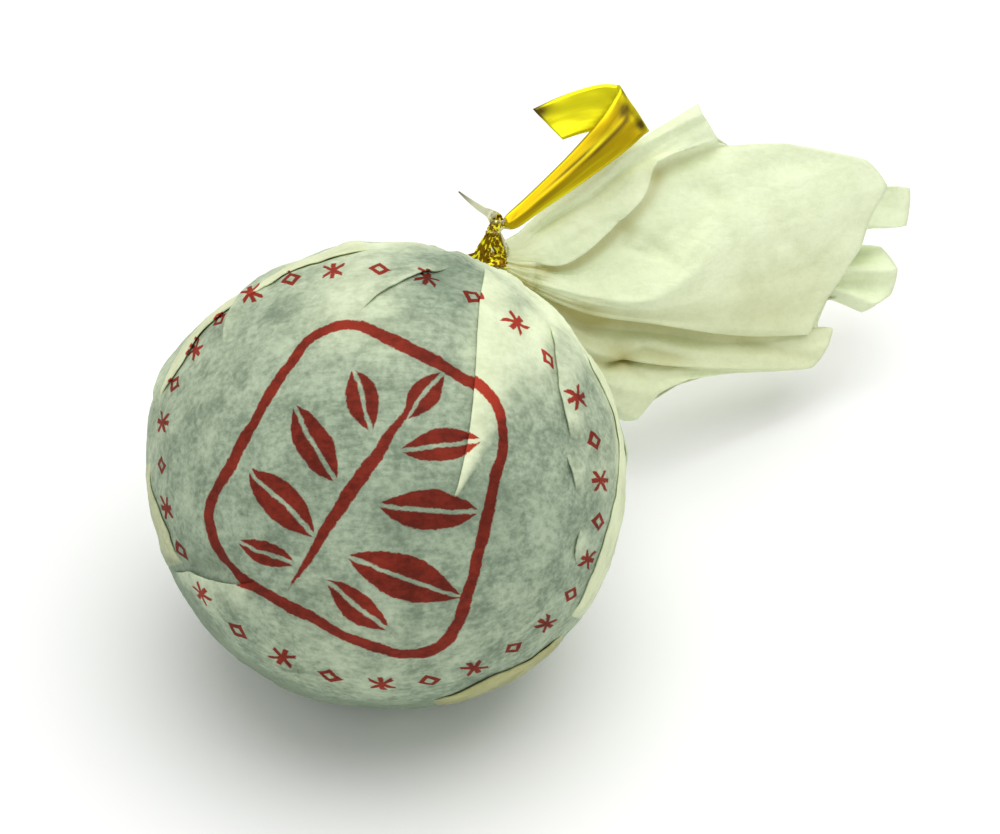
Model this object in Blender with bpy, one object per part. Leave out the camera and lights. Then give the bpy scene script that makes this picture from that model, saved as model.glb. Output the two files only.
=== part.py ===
"""A wrapped tea pearl: a small ball of pressed tea in thin paper, gathered and tied with a foil strip.

The paper is one closed solid, because it can't be seen into: the covered ball, the neck where the
sheet is gathered, and the loose end of the sheet, which fans out to one side. The foil strip is a
second solid, wound round the neck with its two ends twisted together.

The folds are laid out on a slanted drawing plane through the ball's middle. A place on it is
(right, up, front) in millimetres, where front is the distance towards the person who looks at it.
"""

import math

import bmesh
import bpy
from mathutils import Vector

MM = 0.001

# The ball and what it rests on
BALL_RADIUS = 15.0
FLAT_DEPTH = 0.42
SLANT = math.radians(45)
BALL_HEIGHT = BALL_RADIUS - FLAT_DEPTH

# The neck, seen from the ball's middle
NECK_DISTANCE = 16.8
NECK_RIGHT = 6.4
NECK_UP = 13.6
NECK_TILT = 0.12
NECK_RADIUS = 1.0
NECK_HALF_LENGTH = 1.15
NECK_PLEATS = 16
NECK_PLEAT_DEPTH = 0.1
SHOULDER_ANGLE = math.radians(21)

# The loose end of the sheet
FAN_LEAN_RIGHT = -0.6
FAN_LEAN_UP = 0.35
FAN_START_RISE = (1.5, 0.5)
FAN_START_SPREAD = (0.3, 2.2)
POCKET_DEPTH = 0.14
POCKET_SHRINK = 0.97

# Each fold line of the fan runs from the neck over a middle place to the sheet's edge. A row gives
# both places on the front layer, then both on the back layer, as (right, up, height over the fan).
FOLD_LINES = (
    (((13.7, 19.2, 0.3), (19.5, 23.3, 0.3)), ((13.7, 19.2, 0.3), (19.5, 23.3, 0.3))),
    (((13.9, 17.9, 1.5), (20.1, 22.2, 0.9)), ((14.8, 18.6, -1.0), (20.7, 21.5, -0.6))),
    (((14.1, 15.9, 1.5), (21.0, 21.1, 0.6)), ((15.8, 17.8, -1.5), (23.3, 20.8, -1.2))),
    (((14.6, 15.2, 0.4), (22.4, 21.0, 0.3)), ((16.5, 17.2, -2.0), (27.0, 20.4, -1.6))),
    (((15.8, 14.7, 0.5), (25.1, 21.1, 0.9)), ((17.3, 16.6, -2.3), (30.0, 19.5, -1.6))),
    (((17.0, 14.0, 1.2), (30.0, 19.9, 1.4)), ((18.0, 16.0, -2.4), (31.6, 18.4, -1.8))),
    (((17.8, 13.4, 1.8), (31.3, 18.0, 1.2)), ((18.4, 15.4, -2.2), (32.7, 18.1, -1.6))),
    (((18.0, 12.4, 1.9), (30.2, 16.0, 0.9)), ((18.6, 14.7, -2.2), (32.3, 16.1, -1.6))),
    (((17.8, 11.5, 1.8), (29.8, 14.6, 1.1)), ((18.5, 13.9, -2.4), (30.4, 15.1, -1.7))),
    (((17.4, 10.7, 1.5), (29.2, 12.9, 1.2)), ((18.3, 13.1, -2.2), (32.0, 14.3, -1.0))),
    (((16.8, 10.4, 1.0), (28.3, 11.3, 0.9)), ((17.9, 12.2, -2.4), (32.2, 12.1, -0.6))),
    (((16.3, 10.1, 0.5), (27.7, 10.0, 0.6)), ((17.3, 11.1, -2.4), (30.0, 10.8, -1.4))),
    (((15.8, 9.9, 0.2), (27.4, 8.3, 0.2)), ((16.7, 11.0, -2.5), (28.1, 9.2, -1.6))),
    (((15.1, 9.8, 0.5), (26.9, 7.1, 0.4)), ((15.9, 10.4, -2.4), (27.0, 7.8, -1.7))),
    (((14.0, 9.5, 0.5), (22.7, 6.1, 0.4)), ((14.7, 9.9, -2.1), (23.1, 6.6, -1.6))),
    (((12.6, 9.1, 0.3), (18.0, 4.8, 0.4)), ((13.2, 9.4, -1.4), (18.3, 5.1, -1.1))),
    (((11.4, 8.9, -0.3), (15.3, 3.6, -0.3)), ((11.4, 8.9, -0.3), (15.3, 3.6, -0.3))),
)

# Pleats pressed on to the ball: place round the neck in degrees, how far they lean for each degree
# down the ball, how high the upper layer stands, and how far down the ball they reach in degrees.
PLEATS = (
    (88, 0.27, 0.85, 122),
    (108, -0.42, 0.60, 84),
    (98, 0.62, 0.90, 104),
    (38, 0.10, 0.70, 120),
    (352, 0.22, 0.75, 110),
    (305, -0.15, 0.70, 125),
    (262, 0.20, 0.85, 100),
    (218, 0.30, 0.75, 128),
    (176, 0.12, 0.70, 112),
)
PLEAT_WIDTH = math.radians(19)
LUMP_HEIGHT = 0.16

# The rings of points along the paper, counted from the far side of the ball
COLUMNS_PER_FOLD = 2
BALL_RINGS = 30
SHOULDER_RINGS = 5
FAN_RINGS = 12
POCKET_RINGS = 2

# The foil strip
FOIL_THICKNESS = 0.24
BAND_WIDTH = 0.66
BAND_GAP = 0.32
BAND_START = math.radians(26)
BAND_TURNS = 1.64
BAND_PITCH = 0.84
BAND_STEPS = 48
LEG_STEPS = 8
TWIST_RADIUS = 0.38
TWIST_WIDTH = 0.36
TWIST_TURNS = 0.75
TWIST_STEPS = 12
TWIST_BOTTOM = Vector((6.35, 15.9, -5.0))
TWIST_TOP = Vector((6.85, 17.2, -4.6))
CURVE_STEPS = 5
SOFTENINGS = 2

# Places along the two ends: middle of the strip, then half its width as a direction
THIN_END = (
    (Vector((4.5, 17.9, -3.8)), Vector((0.02, 0.05, 0.0))),
    (Vector((5.2, 17.75, -3.9)), Vector((0.05, 0.12, 0.0))),
    (Vector((5.9, 17.55, -4.0)), Vector((0.06, 0.16, 0.0))),
)
WIDE_END = (
    (Vector((7.9, 18.1, -4.7)), Vector((-0.26, 0.30, 0.0))),
    (Vector((9.4, 19.4, -5.0)), Vector((-0.48, 0.54, 0.0))),
    (Vector((11.6, 21.3, -5.6)), Vector((-0.74, 0.72, 0.1))),
    (Vector((13.7, 22.8, -6.2)), Vector((-0.94, 0.88, 0.1))),
    (Vector((15.2, 23.55, -6.8)), Vector((-0.80, 1.14, 0.0))),
    (Vector((15.5, 23.5, -7.35)), Vector((-0.62, 1.22, 0.0))),
    (Vector((14.7, 23.5, -7.75)), Vector((-0.50, 1.30, 0.0))),
    (Vector((13.0, 23.25, -7.6)), Vector((-0.45, 1.30, 0.0))),
    (Vector((11.4, 22.8, -7.2)), Vector((-0.70, 1.16, 0.0))),
    (Vector((10.0, 22.3, -6.7)), Vector((-0.92, 0.98, 0.0))),
)

PAPER_COLOUR = (0.76, 0.82, 0.58, 1.0)
GOLD_COLOUR = (0.70, 0.55, 0.03, 1.0)

# Worked out from the sizes above
FOLDS = len(FOLD_LINES) - 1
HALF_COLUMNS = FOLDS * COLUMNS_PER_FOLD
COLUMNS = 2 * HALF_COLUMNS
NECK_FRONT = -math.sqrt(NECK_DISTANCE**2 - NECK_RIGHT**2 - NECK_UP**2)
NECK = Vector((NECK_RIGHT, NECK_UP, NECK_FRONT))
BALL_AXIS = NECK.normalized()
NECK_AXIS = (BALL_AXIS + NECK_TILT * Vector((1, 0, 0))).normalized()


def sideways(axis):
    """The two directions square to an axis: to the left, and to the front."""
    left = Vector((-1, 0, 0))
    left = (left - left.dot(axis) * axis).normalized()
    return left, axis.cross(left)


BALL_LEFT, BALL_FRONT = sideways(BALL_AXIS)
NECK_LEFT, NECK_TO_FRONT = sideways(NECK_AXIS)


def to_model(place):
    """A place on the drawing plane as a point of the model, in metres."""
    right, up, front = place
    y = up * math.sin(SLANT) - front * math.cos(SLANT)
    z = up * math.cos(SLANT) + front * math.sin(SLANT)
    return Vector((right, y, z + BALL_HEIGHT)) * MM


def curve_between(before, start, end, after, share):
    """A smooth curve from start to end that heads the way its neighbours lie."""
    a = 2 * start
    b = end - before
    c = 2 * before - 5 * start + 4 * end - after
    d = 3 * start - before - 3 * end + after
    return (a + b * share + c * share**2 + d * share**3) / 2


def over_fan(place):
    """A place given by its height over the fan's own plane, as a place on the drawing plane."""
    right, up, height = place
    plane = NECK_FRONT + FAN_LEAN_RIGHT * (right - NECK_RIGHT) + FAN_LEAN_UP * (up - NECK_UP)
    return Vector((right, up, plane + height))


FRONT_MIDDLES = [over_fan(front[0]) for front, back in FOLD_LINES]
FRONT_EDGES = [over_fan(front[1]) for front, back in FOLD_LINES]
BACK_MIDDLES = [over_fan(back[0]) for front, back in FOLD_LINES]
BACK_EDGES = [over_fan(back[1]) for front, back in FOLD_LINES]


def across(places, fold):
    """A place between two fold lines, at a count of folds that may be a fraction."""
    first = min(int(fold), FOLDS - 1)
    before = places[max(first - 1, 0)]
    after = places[min(first + 2, FOLDS)]
    return curve_between(before, places[first], places[first + 1], after, fold - first)


def around_neck(turn):
    """The direction out of the neck's axis at a turn from its left side towards its front."""
    return math.cos(turn) * NECK_LEFT + math.sin(turn) * NECK_TO_FRONT


def neck_spoke(fold, back):
    turn = math.pi * fold / FOLDS
    return around_neck(-turn if back else turn)


def neck_ring(fold, back, along):
    """A place on the gathered neck, at a distance along its axis."""
    gather = NECK_PLEAT_DEPTH * math.cos(NECK_PLEATS * math.pi * fold / FOLDS)
    return NECK + along * NECK_AXIS + (NECK_RADIUS + gather) * neck_spoke(fold, back)


def fan(fold, back, share):
    """A place on the loose end: share is 0 at the neck and 1 at the sheet's edge."""
    start = neck_ring(fold, back, NECK_HALF_LENGTH)
    middle = across(BACK_MIDDLES if back else FRONT_MIDDLES, fold)
    edge = across(BACK_EDGES if back else FRONT_EDGES, fold)
    rise, spread = (a + (b - a) * fold / FOLDS for a, b in (FAN_START_RISE, FAN_START_SPREAD))
    pull = start + rise * NECK_AXIS + spread * neck_spoke(fold, back)
    bend = (8 * middle - start - 3 * pull - edge) / 3
    rest = 1 - share
    return rest**3 * start + 3 * rest**2 * share * pull + 3 * rest * share**2 * bend + share**3 * edge


def pocket(fold, back, share, spread):
    """A place in the fold behind the open edge, where the front and back layers close together."""
    inner = FOLDS / 2 + (fold - FOLDS / 2) * POCKET_SHRINK
    front_place = fan(inner, False, share)
    back_place = fan(inner, True, share)
    centre = (front_place + back_place) / 2
    side = (back_place if back else front_place) - centre
    return centre + side * spread


def pleat_height(turn, angle):
    """How far the pressed pleats lift the paper at a turn round the neck and an angle down."""
    height = 0.0
    for place, lean, rise, reach in PLEATS:
        edge = math.radians(place) + lean * angle
        past = (turn - edge + math.pi) % (2 * math.pi) - math.pi
        if past < 0:
            continue
        fade = max(0.0, 1 - angle / math.radians(reach))
        height += rise * math.exp(-past / PLEAT_WIDTH) * math.sqrt(fade)
    return height


def ball(fold, back, angle):
    """A place on the covered ball, at an angle down from the neck."""
    turn = math.pi * fold / FOLDS
    if back:
        turn = 2 * math.pi - turn
    spoke = math.cos(turn) * BALL_LEFT + math.sin(turn) * BALL_FRONT
    direction = math.cos(angle) * BALL_AXIS + math.sin(angle) * spoke
    lumps = math.sin(3 * turn + 1) * math.sin(angle) ** 2 + math.cos(4 * angle + 2 * math.sin(turn))
    radius = BALL_RADIUS - 0.25 + LUMP_HEIGHT * lumps + pleat_height(turn, angle) * math.sin(angle)
    return radius * direction


def shoulder(fold, back, share):
    """A place where the paper leaves the ball and closes in on the neck."""
    start = ball(fold, back, SHOULDER_ANGLE)
    before = ball(fold, back, SHOULDER_ANGLE * 1.2)
    end = neck_ring(fold, back, -NECK_HALF_LENGTH)
    run = (end - start).length * 0.45
    leave = start + (start - before).normalized() * run
    arrive = end - NECK_AXIS * 0.35
    rest = 1 - share
    return rest**3 * start + 3 * rest**2 * share * leave + 3 * rest * share**2 * arrive + share**3 * end


def paper_place(fold, back, ring):
    """The place of one point of the paper, by its fold and its ring."""
    if ring <= BALL_RINGS:
        angle = math.pi + (SHOULDER_ANGLE - math.pi) * ring / BALL_RINGS
        return ball(fold, back, angle)
    ring -= BALL_RINGS
    if ring <= SHOULDER_RINGS:
        return shoulder(fold, back, ring / SHOULDER_RINGS)
    ring -= SHOULDER_RINGS + 1
    if ring < FAN_RINGS:
        return fan(fold, back, (ring / (FAN_RINGS - 1)) ** 1.35)
    inwards = (ring - FAN_RINGS + 1) / POCKET_RINGS
    depth = POCKET_DEPTH * (0.1 + 0.9 * math.sin(math.pi * fold / FOLDS) ** 3) * inwards
    return pocket(fold, back, 1 - depth, 1 - inwards)


def material(name, colour, roughness, metallic):
    made = bpy.data.materials.new(name)
    made.use_nodes = True
    shader = made.node_tree.nodes["Principled BSDF"]
    shader.inputs["Base Color"].default_value = colour
    shader.inputs["Roughness"].default_value = roughness
    shader.inputs["Metallic"].default_value = metallic
    return made


def add_object(name, mesh, collection, finish):
    made = bpy.data.objects.new(name, mesh)
    mesh.materials.append(finish)
    mesh.shade_smooth()
    mesh.set_sharp_from_angle(angle=math.radians(40))
    collection.objects.link(made)
    return made


def paper_mesh():
    """A sphere's rings carried over the ball, through the neck, round the fan's edge and back in."""
    rings = BALL_RINGS + SHOULDER_RINGS + 1 + FAN_RINGS + POCKET_RINGS
    shape = bmesh.new()
    bmesh.ops.create_uvsphere(shape, u_segments=COLUMNS, v_segments=rings, radius=1)
    top = max(shape.verts, key=lambda point: point.co.z)
    bmesh.ops.delete(shape, geom=[top], context="VERTS")
    for point in shape.verts:
        ring = round((1 - math.acos(max(-1, min(1, point.co.z))) / math.pi) * rings)
        turn = math.atan2(point.co.y, point.co.x) % (2 * math.pi)
        column = round(turn / (2 * math.pi) * COLUMNS) % COLUMNS
        back = column > HALF_COLUMNS
        steps = COLUMNS - column if back else column
        point.co = to_model(paper_place(steps / COLUMNS_PER_FOLD, back, ring))
    bmesh.ops.remove_doubles(shape, verts=shape.verts, dist=0.01 * MM)
    cut = bmesh.ops.bisect_plane(
        shape,
        geom=shape.verts[:] + shape.edges[:] + shape.faces[:],
        plane_co=(0, 0, 0),
        plane_no=(0, 0, 1),
        clear_inner=True,
    )
    rim = [part for part in cut["geom_cut"] if isinstance(part, bmesh.types.BMEdge)]
    bmesh.ops.edgeloop_fill(shape, edges=rim)
    bmesh.ops.recalc_face_normals(shape, faces=shape.faces)
    bmesh.ops.triangulate(shape, faces=shape.faces)
    mesh = bpy.data.meshes.new("paper_wrapper")
    shape.to_mesh(mesh)
    shape.free()
    return mesh


def flat_on(places, spokes, width):
    """Stations of a strip that lies flat round an axis: its width is square to its way and spoke."""
    stations = []
    last = len(places) - 1
    for index, place in enumerate(places):
        way = places[min(index + 1, last)] - places[max(index - 1, 0)]
        stations.append((place, spokes[index].cross(way).normalized() * width / 2))
    return stations


def band_stations():
    """The strip wound flat round the neck, from its left side over the back and once over the front."""
    radius = NECK_RADIUS + NECK_PLEAT_DEPTH + BAND_GAP + FOIL_THICKNESS / 2
    stations = []
    for step in range(BAND_STEPS + 1):
        share = step / BAND_STEPS
        along = (share - 0.5) * BAND_TURNS * BAND_PITCH
        spoke = around_neck(BAND_START - BAND_TURNS * 2 * math.pi * share)
        stations.append((NECK + along * NECK_AXIS + radius * spoke, NECK_AXIS * BAND_WIDTH / 2))
    return stations


def twist_stations(start, end, first_turn, way):
    """One strand of the twist, from start to end round the twist's middle line."""
    left, front = sideways((TWIST_TOP - TWIST_BOTTOM).normalized())
    places = []
    spokes = []
    for step in range(TWIST_STEPS + 1):
        share = step / TWIST_STEPS
        turn = first_turn + way * TWIST_TURNS * 2 * math.pi * share
        spokes.append(math.cos(turn) * left + math.sin(turn) * front)
        places.append(start.lerp(end, share) + TWIST_RADIUS * spokes[-1])
    return flat_on(places, spokes, TWIST_WIDTH)


def smooth_stations(stations):
    """More stations on smooth curves through the given ones."""
    stations = steady(stations)
    finer = []
    last = len(stations) - 1
    for index in range(last):
        four = [stations[min(max(index + shift, 0), last)] for shift in (-1, 0, 1, 2)]
        for step in range(CURVE_STEPS):
            share = step / CURVE_STEPS
            middle = curve_between(*[station[0] for station in four], share)
            half = curve_between(*[station[1] for station in four], share)
            finer.append((middle, half))
    return finer + [stations[-1]]


def steady(stations):
    """The same stations with no sudden half turn in the strip's width."""
    kept = [stations[0]]
    for middle, half in stations[1:]:
        kept.append((middle, -half if half.dot(kept[-1][1]) < 0 else half))
    return kept


def soften(stations):
    """The same stations with each kink shared out over its neighbours."""
    kept = [stations[0]]
    for before, here, after in zip(stations, stations[1:], stations[2:]):
        kept.append(tuple((a + 2 * b + c) / 4 for a, b, c in zip(before, here, after)))
    return kept + [stations[-1]]


def leg(band_end, twist_end):
    """Stations from the band to the twist, which leave the band level before they rise."""
    band_end, twist_end = steady([band_end, twist_end])
    rise = (twist_end[0] - band_end[0]).dot(NECK_AXIS) * NECK_AXIS
    stations = []
    for step in range(1, LEG_STEPS):
        share = step / LEG_STEPS
        middle = band_end[0].lerp(twist_end[0], share) - rise * (share - share**2)
        stations.append((middle, band_end[1].lerp(twist_end[1], share**2)))
    return stations


def foil_stations():
    """The whole strip, from its thin end through the twist, round the neck and back to the wide end."""
    down = twist_stations(TWIST_TOP, TWIST_BOTTOM, math.radians(-20), -1)
    up = twist_stations(TWIST_BOTTOM, TWIST_TOP, math.radians(-20) + math.pi - TWIST_TURNS * 2 * math.pi, 1)
    band = band_stations()
    thin = smooth_stations(list(THIN_END) + [down[0]])[:-1]
    wide = smooth_stations([up[-1]] + list(WIDE_END))[1:]
    stations = steady(thin + down + leg(band[0], down[-1])[::-1] + band + leg(band[-1], up[0]) + up + wide)
    for _ in range(SOFTENINGS):
        stations = soften(stations)
    return stations


def foil_mesh():
    """A flat cross section carried from station to station, with its two ends closed."""
    stations = foil_stations()
    shape = bmesh.new()
    loops = []
    for index, (middle, half) in enumerate(stations):
        ahead = stations[min(index + 1, len(stations) - 1)][0]
        behind = stations[max(index - 1, 0)][0]
        normal = (ahead - behind).cross(half).normalized() * FOIL_THICKNESS / 2
        corners = (middle + half + normal, middle - half + normal, middle - half - normal, middle + half - normal)
        loops.append([shape.verts.new(to_model(corner)) for corner in corners])
    for first, second in zip(loops, loops[1:]):
        for side in range(4):
            after = (side + 1) % 4
            shape.faces.new((first[side], first[after], second[after], second[side]))
    shape.faces.new(loops[0])
    shape.faces.new(loops[-1][::-1])
    bmesh.ops.recalc_face_normals(shape, faces=shape.faces)
    bmesh.ops.triangulate(shape, faces=shape.faces)
    mesh = bpy.data.meshes.new("gold_tie")
    shape.to_mesh(mesh)
    shape.free()
    return mesh


def main():
    for old in list(bpy.data.objects):
        bpy.data.objects.remove(old, do_unlink=True)
    parts = bpy.data.collections.new("tea_pearl")
    bpy.context.scene.collection.children.link(parts)
    paper = material("paper", PAPER_COLOUR, 0.85, 0.0)
    gold = material("gold_foil", GOLD_COLOUR, 0.3, 0.9)
    add_object("paper_wrapper", paper_mesh(), parts, paper)
    add_object("gold_tie", foil_mesh(), parts, gold)


main()
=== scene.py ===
# %% [markdown]
# # A wrapped tea pearl
# The real thing is a ball of pressed dark tea, about 30 mm across, in one sheet of thin tissue paper.
# The sheet is gathered at a neck, tied there with a strip of gold foil, and its loose end fans out
# to one side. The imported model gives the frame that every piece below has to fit.

# %% Load the frame
import math

import bmesh
import bpy
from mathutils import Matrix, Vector, noise


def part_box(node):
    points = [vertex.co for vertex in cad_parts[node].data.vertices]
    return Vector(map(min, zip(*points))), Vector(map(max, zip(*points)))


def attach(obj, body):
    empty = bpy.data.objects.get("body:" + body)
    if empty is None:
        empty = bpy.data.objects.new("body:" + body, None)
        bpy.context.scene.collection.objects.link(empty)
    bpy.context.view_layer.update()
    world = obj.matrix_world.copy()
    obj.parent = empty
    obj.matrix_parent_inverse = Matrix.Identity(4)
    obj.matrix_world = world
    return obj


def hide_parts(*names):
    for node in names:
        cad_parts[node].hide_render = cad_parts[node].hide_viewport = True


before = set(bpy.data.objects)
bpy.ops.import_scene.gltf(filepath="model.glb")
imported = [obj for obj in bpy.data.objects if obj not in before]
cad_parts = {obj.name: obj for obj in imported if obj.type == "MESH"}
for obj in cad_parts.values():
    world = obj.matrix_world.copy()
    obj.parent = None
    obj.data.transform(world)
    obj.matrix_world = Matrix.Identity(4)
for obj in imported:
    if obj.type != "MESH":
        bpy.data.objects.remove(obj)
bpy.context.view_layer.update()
MM = 0.001
PAPER_LOW, PAPER_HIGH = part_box("paper_wrapper")
print("paper solid, mm:", [round(side / MM, 1) for side in PAPER_HIGH - PAPER_LOW])

# %% [markdown]
# ## A drawing plane
# The folds are easiest to give the way that the eye meets them, on a slanted plane through the
# ball's middle. A place on it is (right, up, front) in millimetres, and one function turns it into
# a point of the model. The plane leans back by 45 degrees, as the camera looks down by 45 degrees.

# %% The drawing plane and its helpers
SLANT = math.radians(45)
BALL_RADIUS = 15.0
FLAT_DEPTH = 0.42
BALL_HEIGHT = BALL_RADIUS - FLAT_DEPTH


def turned(direction):
    """A direction of the drawing plane as a direction of the model."""
    right, up, front = direction
    back = up * math.sin(SLANT) - front * math.cos(SLANT)
    return Vector((right, back, up * math.cos(SLANT) + front * math.sin(SLANT)))


def to_model(place):
    return (turned(place) + Vector((0, 0, BALL_HEIGHT))) * MM


def curve_between(before, start, end, after, share):
    """A smooth curve from start to end that heads the way its neighbours lie."""
    a = 2 * start
    b = end - before
    c = 2 * before - 5 * start + 4 * end - after
    d = 3 * start - before - 3 * end + after
    return (a + b * share + c * share**2 + d * share**3) / 2


def limited(value, low=0.0, high=1.0):
    return min(max(value, low), high)


def hill(gap, reach):
    """1 in the middle, and falling smoothly to nearly 0 at twice the reach."""
    return math.exp(-((gap / reach) ** 2))


def shares(count):
    """Evenly spaced shares from 0 to 1."""
    return [step / count for step in range(count + 1)]


def square_to(direction, axis):
    """The part of a direction that is square to an axis, with length 1."""
    return (direction - direction.dot(axis) * axis).normalized()


def turned_by(turn, first, second):
    """The direction that is turned from the first one towards the second."""
    return math.cos(turn) * first + math.sin(turn) * second


def along(places, share):
    """A place on the smooth curve through a list of places, share 0 at its start and 1 at its end."""
    last = len(places) - 1
    spot = limited(share) * last
    first = min(int(spot), last - 1)
    before = places[max(first - 1, 0)]
    after = places[min(first + 2, last)]
    return curve_between(before, places[first], places[first + 1], after, spot - first)


print("the ball's middle in the model, mm:", [round(side / MM, 2) for side in to_model((0, 0, 0))])

# %% [markdown]
# ## Camera
# A long lens from far away keeps the small ball from bulging, as in a product picture. The frame is
# 62.5 mm wide at the ball, and its middle lies to the right of the ball, so that the tail fits in.

# %% The camera
VIEW_WIDTH = 62.5
VIEW_MIDDLE = Vector((7.0, 3.81, 0.0))
CAMERA_DISTANCE = 1200.0


def add_object(name, data):
    """A new object of the scene, with the given mesh, camera or lamp data."""
    made = bpy.data.objects.new(name, data)
    bpy.context.scene.collection.objects.link(made)
    return made


camera_data = bpy.data.cameras.new("camera")
camera_data.sensor_width = 36
camera_data.lens = camera_data.sensor_width * CAMERA_DISTANCE / VIEW_WIDTH
camera_data.clip_start = 0.1
camera_data.clip_end = 10
camera = add_object("camera", camera_data)
camera.location = to_model(VIEW_MIDDLE + Vector((0, 0, CAMERA_DISTANCE)))
camera.rotation_euler = (math.pi / 2 - SLANT, 0, 0)
bpy.context.scene.camera = camera
print("lens, mm:", round(camera_data.lens))

# %% [markdown]
# ## Floor and light
# Food packs are mostly shown on a white sweep under a big soft box. A plain pale floor, an even pale
# sky and one broad lamp from the top right give the same look: light folds and only a faint shadow.

# %% The floor, the sky and the lamp
FLOOR_WIDTH = 3000 * MM
FLOOR_COLOUR = (0.93, 0.93, 0.92, 1)
FLOOR_ROUGHNESS = 0.9
SKY_STRENGTH = 0.60
LAMP_STRENGTH = 1.9
LAMP_SOFTNESS = math.radians(60)
LAMP_FROM = (0.1, 0.75, 0.65)


def new_finish(name):
    """A new material and its shader node."""
    made = bpy.data.materials.new(name)
    made.use_nodes = True
    return made, made.node_tree.nodes["Principled BSDF"]


floor_shape = bmesh.new()
bmesh.ops.create_grid(floor_shape, x_segments=1, y_segments=1, size=FLOOR_WIDTH / 2)
floor_mesh = bpy.data.meshes.new("floor")
floor_shape.to_mesh(floor_mesh)
floor_shape.free()
floor = add_object("floor", floor_mesh)
floor_finish, floor_shader = new_finish("pale_floor")
floor_shader.inputs["Base Color"].default_value = FLOOR_COLOUR
floor_shader.inputs["Roughness"].default_value = FLOOR_ROUGHNESS
floor_mesh.materials.append(floor_finish)

world = bpy.data.worlds.new("pale_sky")
world.use_nodes = True
world.node_tree.nodes["Background"].inputs["Color"].default_value = (1, 1, 1, 1)
world.node_tree.nodes["Background"].inputs["Strength"].default_value = SKY_STRENGTH
bpy.context.scene.world = world

lamp_data = bpy.data.lights.new("soft_box", "SUN")
lamp_data.energy = LAMP_STRENGTH
lamp_data.angle = LAMP_SOFTNESS
lamp = add_object("soft_box", lamp_data)
lamp.rotation_euler = turned(LAMP_FROM).to_track_quat("Z", "Y").to_euler()
bpy.context.scene.view_settings.view_transform = "Standard"

# %% [markdown]
# ## Small helpers for materials
# A material is a graph of nodes, with a Math node for every sign of a sum. Written node by node, even
# a short formula fills a page. So a number of the graph is wrapped in a small class here, and Python's
# own signs between such numbers add the Math nodes. Short functions add the other kinds of node: a
# mix of two colours, a smooth ramp, a soft noise, and a number that the mesh carries on its points.

# %% Node helpers


def add_node(tree, kind, inputs, **settings):
    """A new node. An input is a plain value, an Amount or another node's output."""
    node = tree.nodes.new(kind)
    for name, value in settings.items():
        setattr(node, name, value)
    for key, value in inputs.items():
        value = value.socket if isinstance(value, Amount) else value
        if isinstance(value, bpy.types.NodeSocket):
            tree.links.new(value, node.inputs[key])
        else:
            node.inputs[key].default_value = value
    return node


def math_node(operation):
    """A function that adds one Math node to the graph of its values."""

    def added(*values):
        tree = next(value.socket.id_data for value in values if isinstance(value, Amount))
        node = add_node(tree, "ShaderNodeMath", dict(enumerate(values)), operation=operation)
        return Amount(node.outputs[0])

    return added


class Amount:
    """A number in a material's graph, which can be added, multiplied and so on."""

    __add__ = __radd__ = math_node("ADD")
    __mul__ = __rmul__ = math_node("MULTIPLY")
    __sub__ = math_node("SUBTRACT")
    __truediv__ = math_node("DIVIDE")
    __abs__ = math_node("ABSOLUTE")

    def __init__(self, socket):
        self.socket = socket

    def __rsub__(self, first):
        return Amount.__sub__(first, self)


larger = math_node("MAXIMUM")
smaller = math_node("MINIMUM")
fraction = math_node("FRACT")


def weighted(weights, amounts):
    """The amounts added up, each times its weight."""
    first, *others = [amount * weight for weight, amount in zip(weights, amounts)]
    return sum(others, first)


def vector_math(tree, operation, *values):
    return add_node(tree, "ShaderNodeVectorMath", dict(enumerate(values)), operation=operation).outputs


def right_and_up(tree, flat):
    """The first two numbers of a place in the graph."""
    parts = add_node(tree, "ShaderNodeSeparateXYZ", {0: flat}).outputs
    return Amount(parts[0]), Amount(parts[1])


def mapped(tree, vector, scale, turn=(0, 0, 0), kind="POINT", middle=(0, 0, 0)):
    """Places that are stretched, turned and moved. The kind TEXTURE does it the other way round."""
    inputs = {"Vector": vector, "Location": middle, "Rotation": turn, "Scale": scale}
    return add_node(tree, "ShaderNodeMapping", inputs, vector_type=kind).outputs[0]


def mix(tree, share, first, second, kind="MIX"):
    inputs = {0: share, 6: first, 7: second}
    return add_node(tree, "ShaderNodeMix", inputs, data_type="RGBA", blend_type=kind).outputs[2]


def ramp(tree, value, low, high):
    """0 below low, 1 above high and smooth between them."""
    inputs = {"Value": value, "From Min": low, "From Max": high}
    node = add_node(tree, "ShaderNodeMapRange", inputs, interpolation_type="SMOOTHSTEP")
    return Amount(node.outputs[0])


def cloud(tree, vector, scale, detail, roughness):
    """Soft noise from 0 to 1 with about so many blotches to a unit of the vector."""
    inputs = {"Vector": vector, "Scale": scale, "Detail": detail, "Roughness": roughness}
    return Amount(add_node(tree, "ShaderNodeTexNoise", inputs).outputs["Fac"])


def carried(tree, name):
    """The number of that name that the mesh carries on its points."""
    return Amount(add_node(tree, "ShaderNodeAttribute", {}, attribute_name=name).outputs["Fac"])


def dress(shader, colour, rough, relief, strength, depth):
    """Gives a shader its colour, its roughness and a relief of the given strength and depth in mm."""
    tree = shader.id_data
    bump = add_node(tree, "ShaderNodeBump", {"Height": relief, "Strength": strength, "Distance": depth * MM})
    tree.links.new(colour, shader.inputs["Base Color"])
    tree.links.new(rough.socket, shader.inputs["Roughness"])
    tree.links.new(bump.outputs[0], shader.inputs["Normal"])


# %% [markdown]
# ## The print
# The paper carries a red print: an outline with round corners, a plant motif inside it, and a ring
# of small marks further out. A picture could be laid over the ball, but shapes made of sums stay
# sharp at any size. The print was flat before the sheet was wrapped, so its two axes are measured
# over the ball's curve: the angle from the print's middle, times the radius.

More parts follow.
